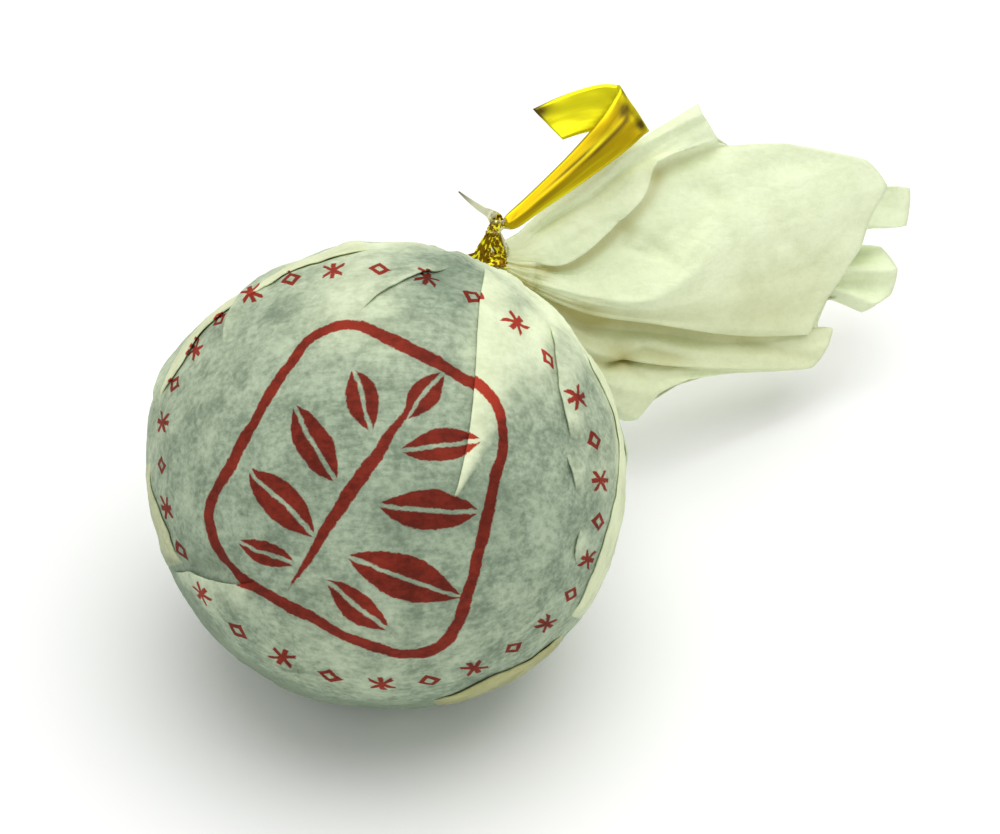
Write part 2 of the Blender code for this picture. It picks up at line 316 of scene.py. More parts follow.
# %% The print's place on the ball
PRINT_MIDDLE = Vector((-1.9, -0.56, 14.87)).normalized()
PRINT_TURN = math.radians(28)
PRINT_UP = square_to(Vector((math.sin(PRINT_TURN), math.cos(PRINT_TURN), 0)), PRINT_MIDDLE)
PRINT_RIGHT = PRINT_UP.cross(PRINT_MIDDLE)
# The angle stays this far from a straight one, where the stretch would be a division by 0
COSINE_LIMIT = 0.9999


def print_places(tree, position):
    """The place on the flat print, in mm, for a point of the ball."""
    from_middle = vector_math(tree, "SUBTRACT", position, to_model((0, 0, 0)))[0]
    unit = vector_math(tree, "NORMALIZE", from_middle)[0]
    parts = []
    for axis in (PRINT_RIGHT, PRINT_UP, PRINT_MIDDLE):
        parts.append(Amount(vector_math(tree, "DOT_PRODUCT", unit, turned(axis))["Value"]))
    angle = math_node("ARCCOSINE")(smaller(larger(parts[2], -COSINE_LIMIT), COSINE_LIMIT))
    stretch = angle * BALL_RADIUS / math_node("SINE")(angle)
    flat = {0: parts[0] * stretch, 1: parts[1] * stretch, 2: 0.0}
    return add_node(tree, "ShaderNodeCombineXYZ", flat).outputs[0]


# %% [markdown]
# Each shape of the print gives a number in millimetres that is above 0 inside its ink. The outline
# is a rectangle with round corners whose sides lean in towards the neck, where the paper is
# gathered. The motif is a sprig: a stem, a bud and pairs of leaves, each with a bare mid-rib.

# %% The outline and the sprig
OUTLINE_HALF = (8.72, 9.53)
OUTLINE_MIDDLE = 0.15
OUTLINE_CORNER = 3.99
OUTLINE_LINE = 0.43
OUTLINE_LEAN = -0.1395
OUTLINE_SHIFT = (0.2136, -0.0951)
RIB = 0.13
# Middle (right, up), turn in degrees, length and width of each leaf; the stem comes first
LEAVES = (
    (-0.1, -0.2, 84, 16.5, 0.9),
    (1.0, 7.3, 82, 4.2, 2.0),
    (3.5, 4.9, 36, 5.1, 2.2),
    (-2.4, 5.1, 134, 4.6, 2.1),
    (4.7, 0.9, 22, 6.8, 2.6),
    (-3.8, 1.2, 150, 5.9, 2.4),
    (5.4, -3.8, 6, 8.1, 3.0),
    (-4.1, -3.2, 166, 6.6, 2.6),
    (3.4, -7.0, -14, 5.5, 2.0),
    (-3.4, -6.8, 190, 4.6, 1.7),
)


def outline_ink(tree, flat):
    right, up = right_and_up(tree, flat)
    half = up * OUTLINE_LEAN + OUTLINE_HALF[0]
    shift = up * OUTLINE_SHIFT[1] + OUTLINE_SHIFT[0]
    side = abs((right - shift) / half * OUTLINE_HALF[0]) - (OUTLINE_HALF[0] - OUTLINE_CORNER)
    top = abs(up - OUTLINE_MIDDLE) - (OUTLINE_HALF[1] - OUTLINE_CORNER)
    side_out = larger(side, 0.0)
    top_out = larger(top, 0.0)
    outside = math_node("SQRT")(side_out * side_out + top_out * top_out)
    distance = outside + smaller(larger(side, top), 0.0) - OUTLINE_CORNER
    return OUTLINE_LINE - abs(distance)


def leaf_ink(tree, flat, leaf, rib):
    right, up, turn, length, width = leaf
    size = (length / 2, width / 2, 1)
    local = mapped(tree, flat, size, (0, 0, math.radians(turn)), "TEXTURE", (right, up, 0))
    lengthwise, across = right_and_up(tree, local)
    across = abs(across)
    ink = (1.0 - lengthwise * lengthwise - across) * (width / 2)
    return smaller(ink, across * (width / 2) - RIB) if rib else ink


def sprig_ink(tree, flat):
    ink = leaf_ink(tree, flat, LEAVES[0], False)
    for leaf in LEAVES[1:]:
        ink = larger(ink, leaf_ink(tree, flat, leaf, True))
    return ink


# %% [markdown]
# The small marks repeat round the ring, so one drawing is enough: the turn round the print's middle
# is cut into equal steps, and each step holds the same drawing. Every other step has a little lozenge
# in place of the crossed leaves.

# %% The ring of small marks
RING_RADIUS = 16.8
RING_MIDDLE = (0.2, 0.9, 0)
RING_STRETCH = (1.095, 0.905, 1)
RING_MARKS = 30
MARK_LINE = 0.21
LOZENGE_HALF = 0.62
ARM_LEAN = 0.8
ARM_HALF = 0.85
STEM_HALF = 1.0


def ring_ink(tree, flat):
    flat = mapped(tree, flat, RING_STRETCH, kind="TEXTURE", middle=RING_MIDDLE)
    distance = Amount(vector_math(tree, "LENGTH", flat)["Value"])
    right, up = right_and_up(tree, flat)
    turn = math_node("ARCTAN2")(up, right) / (math.tau / RING_MARKS)
    along_ring = abs((fraction(turn) - 0.5) * (math.tau * RING_RADIUS / RING_MARKS))
    rise = abs(distance - RING_RADIUS)
    lozenge = MARK_LINE * 1.3 - abs(along_ring + rise - LOZENGE_HALF)
    arms = MARK_LINE * 1.1 - abs(along_ring * ARM_LEAN - rise)
    arms = smaller(arms, ARM_HALF - larger(along_ring, rise))
    stem = smaller(MARK_LINE - along_ring, STEM_HALF - rise)
    even = math_node("LESS_THAN")(fraction(math_node("FLOOR")(turn) / 2.0), 0.25)
    either = {0: even, 2: lozenge, 3: larger(arms, stem)}
    return Amount(add_node(tree, "ShaderNodeMix", either, data_type="FLOAT").outputs[0])


# %% [markdown]
# ## The tissue paper
# Tissue is a thin felt of long fibres, cloudy against the light. Where one layer lies on the tea it
# looks grey green, because the dark tea shows through its thin spots. Where layers lie double or
# stand off, it looks cream. Each mesh carries a cream number for that: 1 is free of the tea, 0 is one
# layer on it, and below 0 it is painted deep shade over the tea. Another number is the painted olive
# shade in the folds. The shader mixes its colours by the two, adds clouds and fibres, and puts the
# ink on top, which stays see-through like a stain.

# %% The paper material
CREAM = (0.85, 0.93, 0.65, 1)
CREAM_DEEP = (0.79, 0.865, 0.57, 1)
TEA_LIGHT = (0.395, 0.485, 0.345, 1)
TEA_DARK = (0.17, 0.225, 0.155, 1)
# The olive colour is painted shade in the folds and at the neck
OLIVE_SHADE = (0.42, 0.37, 0.10, 1)
INK = (0.56, 0.024, 0.009, 1)
# Scale, detail and roughness of each noise, then stretch and turn where it has a grain
PATCHES = (1 / (2.2 * MM), 5.0, 0.62)
GRAIN = (1 / (0.42 * MM), 3.0, 0.6)
FIBRES = (1 / (1.6 * MM), 3.0, 0.65)
FIBRE_GRAIN = ((1, 5, 5), (0.6, 0.9, 0.4))
WRINKLES = (1 / (2.4 * MM), 2.0, 0.5)
WRINKLE_GRAIN = ((0.45, 1.3, 1.3), (0.3, 0.5, 0.9))
# Weights of patches, grain and fibres, and in the relief also of the wrinkles' ridges
THICKNESS_WEIGHTS = (0.42, 0.33, 0.25)
RELIEF_WEIGHTS = (1.4, 0.5, 0.6, 0.22)
THIN = 0.36
THICK = 0.64
RIDGE_WIDTH = 0.07
WOBBLE = {"Scale": 1 / (3.5 * MM), "Detail": 1.0}
WOBBLE_REACH = (0.7, 0.7, 0)
INK_ROUGHNESS = 0.35
INK_EDGE = (-0.05, 0.07)
INK_COVER = 0.972
# The grain's weight in the roughness, and its least; strength of the relief, and its depth in mm
PAPER_ROUGHNESS = (0.2, 0.62)
PAPER_RELIEF = (0.5, 0.12)
PAPER_SHINE = 0.12


def ink_cover(tree, position, grain):
    """How much of the paper the print covers, with a line that wobbles and a rough edge."""
    wobble = add_node(tree, "ShaderNodeTexNoise", {"Vector": position, **WOBBLE}).outputs["Color"]
    shift = vector_math(tree, "SUBTRACT", wobble, (0.5, 0.5, 0.5))[0]
    flat = vector_math(tree, "MULTIPLY_ADD", shift, WOBBLE_REACH, print_places(tree, position))[0]
    ink = larger(outline_ink(tree, flat), sprig_ink(tree, flat))
    ink = larger(ink, ring_ink(tree, flat))
    return ramp(tree, (grain - 0.5) * INK_ROUGHNESS + ink, *INK_EDGE) * INK_COVER


def paper(name, printed):
    made, shader = new_finish(name)
    tree = made.node_tree
    position = tree.nodes.new("ShaderNodeTexCoord").outputs["Object"]
    cream_and_shade = carried(tree, "cream_and_shade")
    patches = cloud(tree, position, *PATCHES)
    grain = cloud(tree, position, *GRAIN)
    fibres = cloud(tree, mapped(tree, position, *FIBRE_GRAIN), *FIBRES)
    wrinkles = cloud(tree, mapped(tree, position, *WRINKLE_GRAIN), *WRINKLES)
    thickness = ramp(tree, weighted(THICKNESS_WEIGHTS, (patches, grain, fibres)), THIN, THICK)
    over_tea = mix(tree, thickness, TEA_DARK, TEA_LIGHT)
    # A cream number below 0 is painted shade: it darkens the colour towards the dark tea
    over_tea = mix(tree, cream_and_shade * -1.0, over_tea, TEA_DARK)
    free = mix(tree, thickness, CREAM_DEEP, CREAM)
    spread = (patches - 0.5) * 0.5 + cream_and_shade
    colour = mix(tree, ramp(tree, spread, 0.0, 1.0), over_tea, free)
    # Painted olive shade in the folds goes over the paper's colour
    colour = mix(tree, carried(tree, "olive_shade"), colour, OLIVE_SHADE)
    if printed:
        stained = mix(tree, 1.0, colour, INK, "MULTIPLY")
        colour = mix(tree, ink_cover(tree, position, grain), colour, stained)
    ridges = ramp(tree, abs(wrinkles - 0.5), 0.0, RIDGE_WIDTH)
    relief = weighted(RELIEF_WEIGHTS, (patches, grain, fibres, ridges))
    rough = grain * PAPER_ROUGHNESS[0] + PAPER_ROUGHNESS[1]
    dress(shader, colour, rough, relief, *PAPER_RELIEF)
    shader.inputs["Specular IOR Level"].default_value = PAPER_SHINE
    print(name, "has", len(tree.nodes), "nodes")
    return made


printed_paper = paper("printed_tissue", True)
plain_paper = paper("plain_tissue", False)

# %% [markdown]
# ## The covered ball
# Under the paper the tea is pressed into a slightly lumpy ball. The sheet runs from the far side of
# the ball up to the neck, where its pleats are squeezed together. A sphere with its poles on the
# neck's axis gives rings and columns that follow the paper, so its points are carried to where the
# paper lies. Soft creases are cut in by their distance from a few lines drawn on the front, and spots
# of painted shade and of double paper by their distance from a place.

# %% The neck and the directions round it
NECK_DISTANCE = 16.8
NECK_RIGHT = 6.4
NECK_UP = 13.6
NECK_TILT = 0.12
NECK_RADIUS = 1.0
NECK_HALF_LENGTH = 1.15
NECK_PLEATS = 16
NECK_RIPPLE = 0.1
# How the paper leaves the ball and meets the neck, as shares of the run between them or in mm
SHOULDER_STEP = 1.2
SHOULDER_RUN = 0.45
NECK_RUN_IN = 0.35
SHOULDER_ANGLE = math.radians(21)
NECK_FRONT = -math.sqrt(NECK_DISTANCE**2 - NECK_RIGHT**2 - NECK_UP**2)
NECK = Vector((NECK_RIGHT, NECK_UP, NECK_FRONT))
BALL_AXIS = NECK.normalized()
NECK_AXIS = (BALL_AXIS + NECK_TILT * Vector((1, 0, 0))).normalized()


def sideways(axis):
    """The two directions square to an axis: to the left, and to the front."""
    left = square_to(Vector((-1, 0, 0)), axis)
    return left, axis.cross(left)


BALL_LEFT, BALL_FRONT = sideways(BALL_AXIS)
NECK_LEFT, NECK_TO_FRONT = sideways(NECK_AXIS)
print("the neck's middle, mm:", [round(side, 2) for side in NECK])

# %% Creases and shades on the ball
# Each crease: points (right, up) on the front, depth and half width in mm; a ridge has a depth below 0
CREASES = (
    (((9.6, 9.6), (10.3, 8.4), (10.7, 5.9), (11.2, 3.6), (11.6, 2.4)), 0.34, 0.42),
    (((11.2, 1.7), (11.4, 0.3), (12.0, -1.1)), 0.30, 0.4),
    (((12.2, -3.1), (11.8, -4.3), (12.0, -5.6)), 0.22, 0.4),
    (((5.3, 8.6), (4.0, 7.3)), 0.10, 0.25),
    (((6.1, 2.0), (6.3, 1.0), (6.6, 0.0)), 0.26, 0.22),
    (((-12.7, -5.3), (-11.0, -5.6), (-9.2, -6.0)), 0.40, 0.45),
    (((2.6, 13.2), (3.8, 12.7), (5.0, 12.6)), 0.55, 0.6),
    (((6.3, 11.4), (7.2, 9.4), (7.0, 7.6)), 0.12, 0.3),
    (((8.2, 11.0), (8.6, 9.2)), 0.12, 0.3),
    (((4.9, -1.2), (6.0, 0.2), (6.6, 1.6)), 0.16, 0.4),
    (((3.1, -1.6), (2.9, -2.8), (2.6, -4.4)), -0.14, 0.3),
    (((-8.6, -5.6), (-7.9, -3.6)), -0.12, 0.25),
    (((1.4, -11.7), (3.2, -12.2), (5.0, -12.0)), 0.16, 0.45),
    (((4.0, -11.2), (8.6, -8.6)), 0.10, 0.4),
    (((8.4, -0.6), (8.0, -3.4)), -0.07, 0.3),
    (((7.2, 7.2), (6.6, 4.8)), -0.06, 0.3),
    (((-3.2, 9.4), (-4.4, 8.0), (-5.2, 6.4)), 0.06, 0.3),
)
# Each spot: place (right, up), reach in mm, and how much cream it adds; below 0 it is painted shade
SHADE_AND_CREAM_SPOTS = (
    ((3.4, 12.8), 1.9, -0.75),
    ((5.6, -1.6), 2.4, -0.40),
    ((1.6, -2.6), 2.8, -0.32),
    ((13.8, 1.0), 2.4, 0.25),
    ((-12.2, -5.2), 1.6, -0.35),
    ((9.6, 9.6), 1.2, 0.25),
    ((-12.0, -7.5), 3.4, -0.3),
    ((-6.0, 1.0), 6.0, -0.12),
    ((8.6, 8.4), 3.6, 0.50),
    ((-2.0, 11.6), 4.5, 0.42),
    ((-11.0, 6.6), 4.2, 0.14),
    ((9.6, -1.5), 4.5, -0.12),
    ((-3.0, -10.6), 5.0, 0.08),
)
# Each bulge or flat: direction from the ball's middle, height and reach in mm
BULGES = (
    ((-5.1, 13.9, 0.5), -0.55, 3.0),
    ((-9.2, 11.8, 0.0), -0.30, 3.0),
    ((-14.5, 4.0, 0.0), 0.35, 3.2),
    ((-2.7, 14.8, 0.0), 0.30, 1.6),
    ((0.0, -15.0, 0.0), -0.42, 6.0),
)
# The rim is paler paper with painted light on the lit side, and painted shade on its low side
CREAM_BASE = 0.12
RIM_CREAM_AND_LIGHT = 0.55
RIM_SHADE = 1.3
RIM_START = 0.93
LIT_WAY = Vector((0.6, 0.8, 0.0))
SHADED_WAY = Vector((-0.35, -0.94, 0.0))
DEEPEST_SHADE = -0.65
UNDER_SKIN = 0.15
LUMP_HEIGHT = 0.13
COARSE_GATHERS = 5
FINE_GATHERS = 13
GATHER_REACH = 0.75
CREASE_REACH = 4


def line_distance(right, up, points):
    """(distance from a line of points, share of the way along it)."""
    best = 1e9
    share = 0.0
    count = len(points) - 1
    for index in range(count):
        from_right, from_up = points[index]
        way_right = points[index + 1][0] - from_right
        way_up = points[index + 1][1] - from_up
        length = way_right**2 + way_up**2
        spot = ((right - from_right) * way_right + (up - from_up) * way_up) / length
        spot = limited(spot)
        gap = math.hypot(right - from_right - spot * way_right, up - from_up - spot * way_up)
        if gap < best:
            best = gap
            share = (index + spot) / count
    return best, share


def crease_depth(right, up, creases, ends):
    """How deep the drawn creases are at a place. A function gives how they fade at their ends."""
    total = 0.0
    for points, depth, half_width in creases:
        gap, share = line_distance(right, up, points)
        if gap < CREASE_REACH * half_width:
            total += depth * hill(gap, half_width) * ends(share)
    return total


def spots(right, up, drawn):
    """What the drawn soft spots add up to at a place."""
    return sum(gain * hill(math.hypot(right - x, up - y), reach) for (x, y), reach, gain in drawn)


def ball_direction(turn, angle):
    return turned_by(angle, BALL_AXIS, turned_by(turn, BALL_LEFT, BALL_FRONT))


def shallow_ends(share):
    return 0.4 + 0.6 * math.sin(math.pi * share)


def gathers(turn, angle):
    """Fine radial pleats that fade out down the ball."""
    spoke = Vector((math.cos(turn), math.sin(turn), 0))
    wave = noise.noise(COARSE_GATHERS * spoke + Vector((0, 0, angle * 0.7)))
    fine = noise.noise(FINE_GATHERS * spoke + Vector((0, 0, angle * 0.9)))
    near = math.exp(-angle / GATHER_REACH)
    return 0.34 * near * wave + (0.03 + 0.16 * near) * (0.5 - abs(fine) * 2)


def ball_radius(direction):
    """How far the paper lies from the ball's middle in a direction."""
    lie = direction.dot(BALL_AXIS)
    angle = math.acos(limited(lie, -1.0, 1.0))
    turn = math.atan2(direction.dot(BALL_FRONT), direction.dot(BALL_LEFT))
    lumps = math.sin(3 * turn + 1) * math.sin(angle) ** 2 + math.cos(4 * angle + 2 * math.sin(turn))
    height = LUMP_HEIGHT * lumps + gathers(turn, angle)
    height += 0.12 * noise.noise(direction * 5.0) + 0.05 * (0.5 - abs(noise.noise(direction * 11.0)) * 2)
    for middle, gain, reach in BULGES:
        gap = (direction - Vector(middle).normalized()).length * BALL_RADIUS
        height += gain * hill(gap, reach)
    if direction.z > 0:
        place = direction * BALL_RADIUS
        height -= crease_depth(place.x, place.y, CREASES, shallow_ends)
    return BALL_RADIUS - UNDER_SKIN + height


def ball_cream_and_shade(direction):
    """How cream the paper looks: 0 is one layer on the tea, 1 is free of it, below 0 is painted shade."""
    # Painted light makes the rim paler on the lit side, and painted shade darkens its low side
    lit_side = 0.2 + 0.8 * max(0.0, direction.dot(LIT_WAY))
    under = max(0.0, direction.dot(SHADED_WAY) - 0.35) / 0.65
    pale_rim = max(0.0, math.hypot(direction.x, direction.y) - RIM_START) / (1 - RIM_START)
    shaded_rim = pale_rim
    if direction.z < 0:
        pale_rim = max(0.0, 1 + direction.z * 3)
        shaded_rim = max(0.0, 1 + direction.z * 6)
    amount = CREAM_BASE + RIM_CREAM_AND_LIGHT * lit_side * pale_rim - RIM_SHADE * under * shaded_rim
    if direction.z > 0:
        amount += spots(direction.x * BALL_RADIUS, direction.y * BALL_RADIUS, SHADE_AND_CREAM_SPOTS)
    near_neck = max(0.0, direction.dot(BALL_AXIS) - 0.85) / 0.15
    return limited(amount + 0.5 * near_neck, DEEPEST_SHADE, 1.0)


# %% Make the covered ball
BALL_COLUMNS = 400
BALL_RINGS = 200
SHOULDER_RINGS = 16
NECK_RINGS = 4
NECK_RUN = 1.4
NECK_CAP = 0.3
SHOULDER_CREAM = 0.65
NECK_CREAM = 0.3
# Painted olive shade on the neck, under the tie
NECK_OLIVE_SHADE = 0.25


def new_numbers(shape, *names):
    """Layers for the numbers that the points of a mesh carry."""
    return [shape.verts.layers.float.new(name) for name in names]


def new_piece(name, shape, finish, material_slot, *nodes, wall=0.0):
    """Turns a bmesh into a piece, which may stand for CAD nodes and may get a wall of some mm."""
    bmesh.ops.recalc_face_normals(shape, faces=shape.faces)
    mesh = bpy.data.meshes.new(name)
    shape.to_mesh(mesh)
    shape.free()
    mesh.materials.append(finish)
    mesh.shade_smooth()
    piece = add_object(name, mesh)
    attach(piece, "root")
    if nodes:
        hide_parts(*nodes)
    if wall:
        thickness = piece.modifiers.new("thickness", "SOLIDIFY")
        thickness.thickness = wall * MM
        thickness.offset = 0
    print(name, "has", len(mesh.polygons), "faces")


def neck_place(turn, distance, extra=0.0):
    """A place on the squeezed neck, at a distance along its axis."""
    gather = NECK_RIPPLE * math.cos(NECK_PLEATS * turn)
    spoke = turned_by(turn, NECK_LEFT, NECK_TO_FRONT)
    return NECK + distance * NECK_AXIS + (NECK_RADIUS + gather + extra) * spoke


def shoulder_place(turn, share):
    """A place where the paper leaves the ball and closes in on the neck."""
    first = ball_direction(turn, SHOULDER_ANGLE)
    start = first * ball_radius(first)
    lower = ball_direction(turn, SHOULDER_ANGLE * SHOULDER_STEP)
    before = lower * ball_radius(lower)
    end = neck_place(turn, -NECK_HALF_LENGTH)
    run = (end - start).length * SHOULDER_RUN
    leave = start + (start - before).normalized() * run
    arrive = end - NECK_AXIS * NECK_RUN_IN
    rest = 1 - share
    first_half = rest**3 * start + 3 * rest**2 * share * leave
    return first_half + 3 * rest * share**2 * arrive + share**3 * end


def covered_ball():
    rings = BALL_RINGS + SHOULDER_RINGS + NECK_RINGS + 1
    shape = bmesh.new()
    cream_and_shade, olive_shade = new_numbers(shape, "cream_and_shade", "olive_shade")
    bmesh.ops.create_uvsphere(shape, u_segments=BALL_COLUMNS, v_segments=rings, radius=1)
    for point in shape.verts:
        ring = round((1 - math.acos(limited(point.co.z, -1, 1)) / math.pi) * rings)
        turn = math.atan2(point.co.y, point.co.x)
        if ring <= BALL_RINGS:
            direction = ball_direction(turn, math.pi + (SHOULDER_ANGLE - math.pi) * ring / BALL_RINGS)
            place = direction * ball_radius(direction)
            point[cream_and_shade] = ball_cream_and_shade(direction)
            point[olive_shade] = 0.0
        else:
            ring -= BALL_RINGS
            share = min(ring / SHOULDER_RINGS, 1.0)
            along_neck = max(0, ring - SHOULDER_RINGS) / NECK_RINGS
            place = shoulder_place(turn, share)
            if along_neck > 0:
                place = neck_place(turn, -NECK_HALF_LENGTH + along_neck * NECK_RUN)
            if ring > SHOULDER_RINGS + NECK_RINGS:
                place = NECK + NECK_AXIS * NECK_CAP
            point[cream_and_shade] = SHOULDER_CREAM + NECK_CREAM * share
            # The neck gets painted olive shade under the tie
            point[olive_shade] = NECK_OLIVE_SHADE * share
        point.co = to_model(place)
    cut = bmesh.ops.bisect_plane(
        shape,
        geom=shape.verts[:] + shape.edges[:] + shape.faces[:],
        plane_co=(0, 0, 0),
        plane_no=(0, 0, 1),
        clear_inner=True,
    )
    rim = [part for part in cut["geom_cut"] if isinstance(part, bmesh.types.BMEdge)]
    bmesh.ops.edgeloop_fill(shape, edges=rim)
    new_piece("covered_ball", shape, printed_paper, "paper", "paper_wrapper")


covered_ball()

# %% [markdown]
# ## Pressed pleats on the ball
# The square sheet has to lose width as it closes in on the neck, so it is laid in flat pleats. Their
# free edges show as fine raised lines that cast a thin shadow, and double paper looks paler. Cutting
# steps into the ball's mesh would need a very fine mesh, so each pleat is its own thin leaf of
# paper: a grid between its free edge and a second line, where it dives under the surface. Where a
# leaf runs along the ball's outline, that second line lies behind it.

# %% The pleats' edges
# Each pleat: free edge and buried edge (right, up), lift at the free edge, how cream, and painted olive
# shade.
# A place further out than the ball's radius lies behind its outline.
PLEATS_IN_FRONT = (
    (((6.1, 13.4), (5.75, 11.4), (5.56, 9.2), (5.4, 6.1), (5.1, 3.0), (4.6, 0.4), (4.1, -1.6)),
     ((8.6, 11.8), (9.6, 10.1), (10.0, 8.6), (9.9, 6.4), (8.6, 3.6), (6.5, 1.0), (4.3, -1.4)),
     0.24, 0.78, 0.06),
    (((-13.7, -5.8), (-12.9, -5.9), (-12.3, -5.8), (-11.05, -6.2), (-10.1, -6.4), (-9.0, -6.5), (-7.8, -6.4)),
     ((-13.1, -7.2), (-12.3, -8.5), (-11.4, -9.7), (-10.0, -10.8), (-8.6, -10.6), (-7.8, -9.6), (-7.2, -8.0)),
     0.30, 0.4, 0.0),
    (((-14.8, 1.6), (-14.8, -0.4), (-14.0, -2.9), (-13.5, -4.4), (-12.8, -5.9)),
     ((-16.6, 1.6), (-16.6, -0.6), (-16.2, -3.4), (-15.7, -5.2), (-15.0, -6.9)),
     0.12, 0.5, 0.3),
    (((-0.8, 14.5), (-2.8, 14.0), (-5.0, 13.35), (-8.3, 11.4), (-11.3, 9.2), (-13.2, 6.3), (-14.3, 4.2)),
     ((-0.9, 16.6), (-3.3, 16.3), (-5.8, 15.6), (-9.8, 13.5), (-12.9, 10.5), (-15.0, 7.2), (-16.0, 4.7)),
     0.17, 0.8, 0.22),
    (((2.4, -14.5), (4.0, -13.9), (6.3, -12.8), (8.0, -12.0), (9.2, -11.3), (10.4, -10.4), (11.4, -9.7)),
     ((2.8, -16.4), (4.7, -16.0), (7.4, -14.9), (9.2, -13.8), (10.5, -12.8), (11.8, -11.7), (12.8, -10.8)),
     0.14, 0.3, 0.6),
    (((11.4, -9.2), (12.5, -6.8), (13.8, -2.9), (14.4, 0.5), (14.0, 4.4), (13.0, 6.8), (12.4, 8.2)),
     ((13.0, -10.4), (14.6, -7.9), (16.3, -3.2), (16.6, 0.5), (15.9, 5.0), (14.7, 7.7), (13.8, 9.2)),
     0.10, 0.75, 0.12),
    (((10.0, 9.8), (10.3, 8.6), (10.7, 5.9), (11.2, 3.6), (11.6, 2.2)),
     ((12.2, 9.0), (12.7, 8.0), (13.1, 5.4), (13.2, 3.2), (13.3, 1.6)),
     0.22, 0.5, 0.0),
    (((11.1, 1.8), (11.5, 0.4), (12.0, -1.1)),
     ((12.6, 1.9), (12.9, 0.4), (13.1, -1.3)),
     0.26, 0.4, 0.0),
    (((12.3, -2.9), (11.85, -4.25), (12.0, -5.6)),
     ((13.4, -2.6), (13.1, -4.2), (12.9, -5.8)),
     0.22, 0.4, 0.0),
    (((4.4, 13.4), (2.6, 12.9), (0.75, 12.1), (-0.6, 11.4), (-2.1, 10.1)),
     ((2.8, 14.4), (1.0, 14.3), (-1.0, 13.6), (-2.4, 12.8), (-3.2, 11.0)),
     0.22, 0.42, 0.0),
)
# Pleats on the hidden side: turn round the neck and lean in degrees, how far down the ball, and lift
PLEATS_BEHIND = (
    (28, 14, 92, 0.30),
    (356, 20, 104, 0.34),
    (322, -12, 78, 0.26),
    (296, 16, 112, 0.36),
    (262, 22, 84, 0.30),
    (234, -10, 100, 0.32),
    (204, 18, 116, 0.34),
    (172, 8, 70, 0.26),
)
PLEAT_THICKNESS = 0.09
PLEAT_WIDTH = math.radians(15)
PLEAT_STEPS = 6
PLEAT_START = 15
HIDDEN_CREAM = 0.4
RIPPLE_HEIGHT = 0.05
PLEAT_ROWS = 90
PLEAT_COLUMNS = 22
BURIED = -0.16
TAPER = 2.6
# Shares of a leaf's width where it dives under the surface, and where its own look ends
DIVE = 0.55
LOOK_END = 0.7


def on_ball(places):
    """Places (right, up) on the ball, or behind its outline, as directions from its middle."""
    made = []
    for right, up in places:
        reach = math.hypot(right, up) / BALL_RADIUS
        inner = min(reach, 2 - reach)
        front = math.copysign(math.sqrt(max(1 - inner**2, 0.0)), 1 - reach)
        flat = inner / (reach * BALL_RADIUS)
        made.append(Vector((right * flat, up * flat, front)).normalized())
    return made


def behind_edges(turn, lean, reach):
    """The free and buried edges of a pleat that runs down from the neck on the hidden side."""
    free = []
    buried = []
    for share in shares(PLEAT_STEPS):
        angle = math.radians(PLEAT_START + (reach - PLEAT_START) * share)
        way = math.radians(turn + lean * share)
        width = PLEAT_WIDTH * (0.6 + 0.4 * math.sin(math.pi * share))
        free.append(ball_direction(way, angle))
        buried.append(ball_direction(way + width, angle))
    return free, buried


def add_pleat(shape, layers, free, buried, lift, whiteness, shade):
    """One thin leaf of paper pressed on to the ball."""
    cream_and_shade, olive_shade = layers
    length = sum((there - here).length for here, there in zip(free, free[1:])) * BALL_RADIUS
    taper = min(TAPER / length, 0.5)
    made = bmesh.ops.create_grid(shape, x_segments=PLEAT_COLUMNS, y_segments=PLEAT_ROWS, size=0.5)
    for point in made["verts"]:
        share = point.co.x + 0.5
        way = point.co.y + 0.5
        edge = along(free, way)
        direction = edge.lerp(along(buried, way), share**1.3).normalized()
        ends = math.sin(min(1.0, way / taper, (1 - way) / taper) * math.pi / 2)
        rise = lift * (1 - share) ** 1.6 * ends
        ripple = RIPPLE_HEIGHT * noise.noise(Vector((way * 9, lift * 40, share * 2))) * (1 - share)
        height = BURIED + (rise - BURIED) * min(1.0, (1 - share) / DIVE) + ripple * ends
        if ends < 1:
            height = BURIED + (height - BURIED) * ends
        point.co = to_model(direction * (ball_radius(direction) + height))
        fade = max(0.0, 1 - (share / LOOK_END) ** 2) * ends
        below = ball_cream_and_shade(direction)
        point[cream_and_shade] = below * (1 - fade) + max(whiteness, below) * fade
        point[olive_shade] = shade * fade


def pressed_pleats():
    shape = bmesh.new()
    layers = new_numbers(shape, "cream_and_shade", "olive_shade")
    for free, buried, lift, whiteness, shade in PLEATS_IN_FRONT:
        add_pleat(shape, layers, on_ball(free), on_ball(buried), lift, whiteness, shade)
    for turn, lean, reach, lift in PLEATS_BEHIND:
        free, buried = behind_edges(turn, lean, reach)
        add_pleat(shape, layers, free, buried, lift, HIDDEN_CREAM, 0.0)
    new_piece("pressed_pleats", shape, printed_paper, "paper", wall=PLEAT_THICKNESS)


pressed_pleats()

# %% [markdown]
# ## The fanned tail
# Past the tie the gathered sheet opens like a flattened skirt. Seen from the front it has a pleat at
# the top with a rounded lobe that hangs over the next panel, a wide smooth panel, a deep valley, and
# a lower panel that ends in a short flap by the ball. The back layer reaches a little further and
# shows as curled tabs. Cloth simulation would gather a sheet in its own way, and these folds are the
# ones to match, so each fold line is drawn one by one and the sheet runs smoothly over the lines.

# %% The fold lines of the tail
FAN_LEAN = (-0.6, 0.35)
